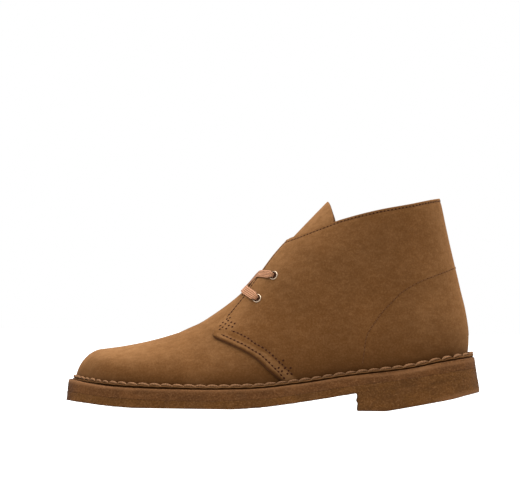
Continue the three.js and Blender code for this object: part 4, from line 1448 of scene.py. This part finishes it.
def lace_band(route, width, thickness, pinch):
    """A flat band with rounded edges and lengthways ribs; pinch gives its share of the width by distance."""
    path, face = smooth_path(*(np.array(values) for values in zip(*route)))
    run = run_along(path)
    tangent = unit(np.gradient(path, axis=0))
    across = unit(np.cross(tangent, face))
    face = np.cross(across, tangent)
    shares = pinch(run, run[-1])[:, None, None]
    k = np.linspace(-1, 1, 27)
    dome = np.sqrt(np.clip(1 - np.abs(k) ** 6, 0, 1))
    ribs = 0.09 * np.cos(k * math.pi * LACE_RIBS + math.pi) * dome
    up = np.concatenate([thickness * (0.5 + 0.5 * dome) + ribs, (thickness * (0.5 - 0.5 * dome))[-2:0:-1]])
    out = np.concatenate([k, k[-2:0:-1]])
    points = path[:, None] + across[:, None] * out[:, None] * width / 2 * shares
    points = points + face[:, None] * up[:, None] / np.maximum(np.sqrt(shares), 0.5)
    rows, columns = points.shape[:2]
    quads, wedges = [grid_faces(rows, columns, closed=True)], []
    for start, turned in ((0, 1), ((rows - 1) * columns, -1)):
        top = start + np.arange(len(k))
        low = start + np.array([0, *range(columns - 1, len(k) - 1, -1), len(k) - 1])
        quads.append(np.stack([top[:-1], top[1:], low[1:], low[:-1]], -1)[1:-1, ::turned])
        wedges.append(np.array([[top[0], top[1], low[1]], [top[-2], top[-1], low[-2]]])[:, ::turned])
    fields = np.stack([np.repeat(run, columns), np.tile(out * 0.5 + 0.5, rows)])
    return points.reshape(-1, 3), np.concatenate(quads), np.concatenate(wedges), fields


def down_hole(side, which, towards, leather):
    """Places below, in and just above an eyelet, leaning the way the lace leaves it."""
    place, out = eyelet_place(side, which, leather)
    along = towards - place
    lean = unit(along - out * np.sum(along * out))
    return [
        (place - out * 3.0 + lean * 0.5, unit(lean * -0.95 + out * 0.3)),
        (place - out * 0.9 + lean * 0.75, unit(lean * -0.9 + out * 0.45)),
        (place + out * 0.5 + lean * 1.35, unit(out - lean * 0.7)),
        (place + out * 0.95 + lean * 2.7, unit(out - lean * 0.1)),
    ]


class BOOT_OT_lace(bpy.types.Operator):
    """Thread the flat lace through the eyelets, with its ends tucked away under the bar"""

    bl_idname = "boot.lace"
    bl_label = "Lace"

    def execute(self, context):
        size = sizes()
        leather, width, thick = size["leather"], size["lace_width"], size["lace_thickness"]

        def at(s, y, lift):
            out = instep_normal(s, y)
            return instep(s, y) + out * lift, out

        def pinched(run):
            """Folded narrow where the lace goes down its holes, and full width soon after."""
            return 0.52 + 0.48 * smooth(run, 3.2, 6.6)

        def both_ends(run, total):
            return pinched(np.minimum(run, total - run))

        def one_end(run, total):
            return pinched(run) * (1 - 0.3 * smooth(run, total - 12, total - 4))

        arch = ((-14.5, 2.4), (-11, 1.8), (-6, 0.8), (0, 0.4), (6, 0.8), (11, 1.8), (14.5, 2.4))
        middle = [at(152.2, y, lift) for y, lift in arch]
        start = down_hole(-1.0, 0, middle[0][0], leather)
        end = down_hole(1.0, 0, middle[-1][0], leather)
        bands = [lace_band([*start, *middle, *end[::-1]], width, thick, both_ends)]
        lift = leather + 0.3
        down = (
            (169.9, 16.3, lift + 0.1), (167.8, 12.2, lift + 0.1), (165.0, 9.0, lift - 0.6), (161.0, 6.2, 0.9),
            (157.0, 4.2, 0.45), (153.0, 2.6, 0.1), (149.8, 2.0, -0.3),
        )
        for side in SIDES:
            route = [at(s, side * y, lift) for s, y, lift in down]
            route = down_hole(side, 1, route[0][0], leather) + route
            bands.append(lace_band(route, width * 0.92, thick * 0.85, one_end))
        points, quads = join([(points, quads) for points, quads, _, _ in bands])
        _, wedges = join([(points, wedges) for points, _, wedges, _ in bands])
        along, across = np.concatenate([fields for *_, fields in bands], axis=1)
        fields = {"along": along, "across": across}
        make_piece("lace_band", points, [quads, wedges], ("Woven_lace",), "lace_cotton", ("lace",), fields)
        return {"FINISHED"}


def row_of_stitches(tree, line, pitch, hole_size):
    """Threads along a line, laid on the quarters, with dark beads of painted shade for the needle holes
    between them.
    """
    run = run_along(line)
    count = max(2, round(run[-1] / pitch))
    at = (np.arange(count) + 0.5) * run[-1] / count
    place = places_at(line, run, at)
    along = unit(places_at(line, run, at + 0.4) - places_at(line, run, at - 0.4))
    on, out = settle(place, tree)
    points, faces = bead(STITCH, 6)
    threads = scatter(points * [pitch * 0.36, 1, 1], faces, on, along, out)
    on, out = settle(place + along * pitch / 2, tree)
    points, faces = bead(HOLE, 10)
    return threads, scatter(points * [hole_size, hole_size, 1], faces, on, along, out)


class BOOT_OT_seams(bpy.types.Operator):
    """Sew the rows along the collar, facings, quarters' edges and heel counter"""

    bl_idname = "boot.seams"
    bl_label = "Seam stitches"

    def execute(self, context):
        size = sizes()
        leather, fine, coarse = size["leather"], size["collar_pitch"], size["seam_pitch"]
        below_collar, from_facing = 2.3, 1.8
        collar_hole, facing_hole, edge_hole, corner_hole, mark = 1.15, 1.55, 1.4, 1.35, 0.8
        counter, counter_top = Curve(COUNTER_ROW, "x", "z"), COUNTER_ROW["z"][-1]

        def on_upper(turn, level):
            return ring(turn, level) + ring_normal(turn, level) * leather

        turn = np.linspace(0.0, 2 * math.pi, 700)[6:-6]
        level = collar_level(turn, below_collar)
        first, last = quarter_turns(level, leather)
        keep = (turn > first + 0.05) & (turn < last - 0.05)
        rows, marks, loose = [(on_upper(turn[keep], level[keep]), fine, collar_hole)], [], []
        counter_x = np.concatenate([np.linspace(214.95, 220, 30), np.linspace(220.3, 282.5, 90)])
        for side in SIDES:
            place, out = on_facing(side, np.linspace(128.0, 198.5, 160), leather, from_facing)
            rows.append((place + out * leather, fine, facing_hole))
            for table in LOWER_ROWS:
                x = np.linspace(table["x"][0], table["x"][-1], 120)
                rows.append((on_side(side, x, Curve(table, "x", "z")(x), leather)[0], coarse, edge_hole))
            marks.append((on_side(side, counter_x, counter(counter_x), leather)[0], coarse, mark))
            loose.append(on_side(side, *np.array(CORNER_HOLES).T, leather)[0])
        start, _ = locate(282.9, counter_top)
        turn = np.linspace(start, 2 * math.pi - start, 60)
        low, high = np.full_like(turn, 0.2), np.ones_like(turn)
        level = halve(low, high, lambda v: ring(turn, v)[..., 2] - counter_top)
        marks.append((on_upper(turn, level), coarse, mark))
        tree = piece_tree("quarters")
        threads, holes = zip(*[row_of_stitches(tree, *row) for row in rows])
        mark_threads, pricks = zip(*[row_of_stitches(tree, *row) for row in marks])
        on, out = settle(np.concatenate(loose), tree)
        points, faces = bead(HOLE, 10)
        slanting = np.tile([0.7, 0.0, 0.7], (len(on), 1))
        corner = scatter(points * [corner_hole, corner_hole, 1], faces, on, slanting, out)
        # The needle holes and the counter's pricked marks are dark beads of painted shade.
        for name, parts, look in (
            ("seam_thread", [*threads, *mark_threads], "Seam_thread"),
            ("needle_holes", [*holes, corner], "Needle_hole"),
            ("counter_marks", pricks, "Pricked_mark"),
        ):
            points, faces = join(parts)
            make_piece(name, points, faces, (look,), "suede", (), {"twist": points.sum(1) * 4})
        return {"FINISHED"}


class BOOT_OT_flange_thread(bpy.types.Operator):
    """Sew the heavy stitches that hold the flange down on the sole"""

    bl_idname = "boot.flange_thread"
    bl_label = "Flange stitches"

    def execute(self, context):
        size = sizes()
        pitch = size["welt_pitch"]
        turn = np.linspace(0, 2 * math.pi, FINE_STEPS)
        plan = ring(turn, 0.0)
        out = flange_reach(plan, size) - 1.15 + size["leather"] * quarter_share(plan[:, 0])
        line = foot_line(turn, out, -flange_top(plan, size), 0.0)
        scale = mix(0.72, 1.0, smooth(line[:, 0], 15, 60)) * mix(1.0, 1.15, smooth(line[:, 0], 220, 280))
        lengths = np.linalg.norm(np.diff(line, axis=0), axis=1) / (pitch * (scale[1:] + scale[:-1]) / 2)
        run = np.concatenate([[0], np.cumsum(lengths)])
        count = round(run[-1])
        at = (np.arange(count) + 0.5) * run[-1] / count
        place = places_at(line, run, at)
        along = unit(places_at(line, run, at + 0.05) - places_at(line, run, at - 0.05))
        scale = np.interp(at, run, scale)
        x = place[:, 0]
        slope = np.arctan(seat(x + 0.5) - seat(x - 0.5))
        up = np.stack([-np.sin(slope), 0 * slope, np.cos(slope)], -1)
        lean = mix(-0.3, 0.34, smooth(x, 30, 200)) + 0.05 * noise(place, 5.0, 91)
        lean = (lean * smooth(x, 5, 22) * (1 - smooth(x, 284, 293)))[:, None]
        along = unit(along + np.cross(up, along) * lean + up * (0.75 * lean - 0.05))
        points, faces = bead([(a * pitch * 0.6, u, w, h) for a, u, w, h in WELT_STITCH], 14)
        made, quads = scatter(points, faces, place, along, up)
        made = made.reshape(count, -1, 3) - place[:, None]
        lengthways = np.sum(made * along[:, None], -1, keepdims=True)
        made = made + along[:, None] * lengthways * (scale - 1)[:, None, None]
        made = place[:, None] + made * (1 + 0.12 * noise(place * 3, 5.0, 92))[:, None, None]
        strands = np.tile(points[:, 0] * 3.2 + points[:, 1] * 2.5, count)
        # Darker along the middle of the foot.
        midfoot_darkening = 0.1 + 0.4 * smooth(made[..., 0], 95, 150) * (1 - smooth(made[..., 0], 195, 262))
        fields = {"twist": strands, "foot": midfoot_darkening}
        make_piece("flange_stitches", made, quads, ("Flange_thread",), "suede", (), fields)
        return {"FINISHED"}


class BOOT_OT_stage(bpy.types.Operator):
    """Set the floor, the soft lights and the camera"""

    bl_idname = "boot.stage"
    bl_label = "Stage"

    def execute(self, context):
        scene = bpy.context.scene

        def place(name, data, location, turn):
            thing = bpy.data.objects.new(name, data)
            thing.location = location
            thing.rotation_euler = [math.radians(degrees) for degrees in turn]
            scene.collection.objects.link(thing)
            return thing

        mesh = bpy.data.meshes.new("floor")
        r = 9.0
        mesh.from_pydata([(-r, -r, 0), (r, -r, 0), (r, r, 0), (-r, r, 0)], [], [(0, 1, 2, 3)])
        mesh.materials.append(material("Floor_paper"))
        place("floor", mesh, (0, 0, -0.0002), (0, 0, 0))
        scene.world = bpy.data.worlds.new("Studio")
        scene.world.use_nodes = True
        background = scene.world.node_tree.nodes["Background"].inputs
        background["Color"].default_value = (1, 1, 1, 1)
        background["Strength"].default_value = 1.0
        for name, strength, spread, turn in (
            ("top_light", 7.2, 75, (0, 0, 0)),
            ("back_light", 0.7, 60, (0, 55, 30)),
        ):
            light = bpy.data.lights.new(name, "SUN")
            light.energy, light.angle = strength, math.radians(spread)
            place(name, light, (0, 0, 1.5), turn)
        camera = bpy.data.cameras.new("camera")
        camera.lens, camera.sensor_width, camera.clip_end = 950.0, 36.0, 100
        scene.camera = place("camera", camera, (-0.0109, -10.0, 0.1181), (90, -0.787, 0))
        scene.view_settings.view_transform = "Standard"
        return {"FINISHED"}


PIECES = (
    BOOT_OT_vamp,
    BOOT_OT_quarters,
    BOOT_OT_quarter_edges,
    BOOT_OT_flange,
    BOOT_OT_tongue,
    BOOT_OT_sole,
    BOOT_OT_heel,
    BOOT_OT_sock,
    BOOT_OT_eyelets,
    BOOT_OT_lace,
    BOOT_OT_seams,
    BOOT_OT_flange_thread,
    BOOT_OT_stage,
)


class BOOT_PT_pieces(bpy.types.Panel):
    """The boot's pieces, sizes and colours"""

    bl_idname = "BOOT_PT_pieces"
    bl_label = "Chukka boot"
    bl_space_type = "VIEW_3D"
    bl_region_type = "UI"
    bl_category = "Boot"

    def draw(self, context):
        for piece in PIECES:
            self.layout.operator(piece.bl_idname)
        for group in (context.scene.boot_sizes, context.scene.boot_colours):
            box = self.layout.box()
            for name in type(group).__annotations__:
                box.prop(group, name)


CLASSES = (BootSizes, BootColours, *PIECES, BOOT_PT_pieces)


def register():
    for cls in CLASSES:
        bpy.utils.register_class(cls)
    bpy.types.Scene.boot_sizes = bpy.props.PointerProperty(type=BootSizes)
    bpy.types.Scene.boot_colours = bpy.props.PointerProperty(type=BootColours)


def unregister():
    del bpy.types.Scene.boot_sizes
    del bpy.types.Scene.boot_colours
    for cls in reversed(CLASSES):
        bpy.utils.unregister_class(cls)


def main():
    register()
    for piece in PIECES:
        group, name = piece.bl_idname.split(".")
        if getattr(getattr(bpy.ops, group), name)() != {"FINISHED"}:
            raise RuntimeError(piece.bl_idname + " did not finish")


if __name__ == "__main__":
    main()
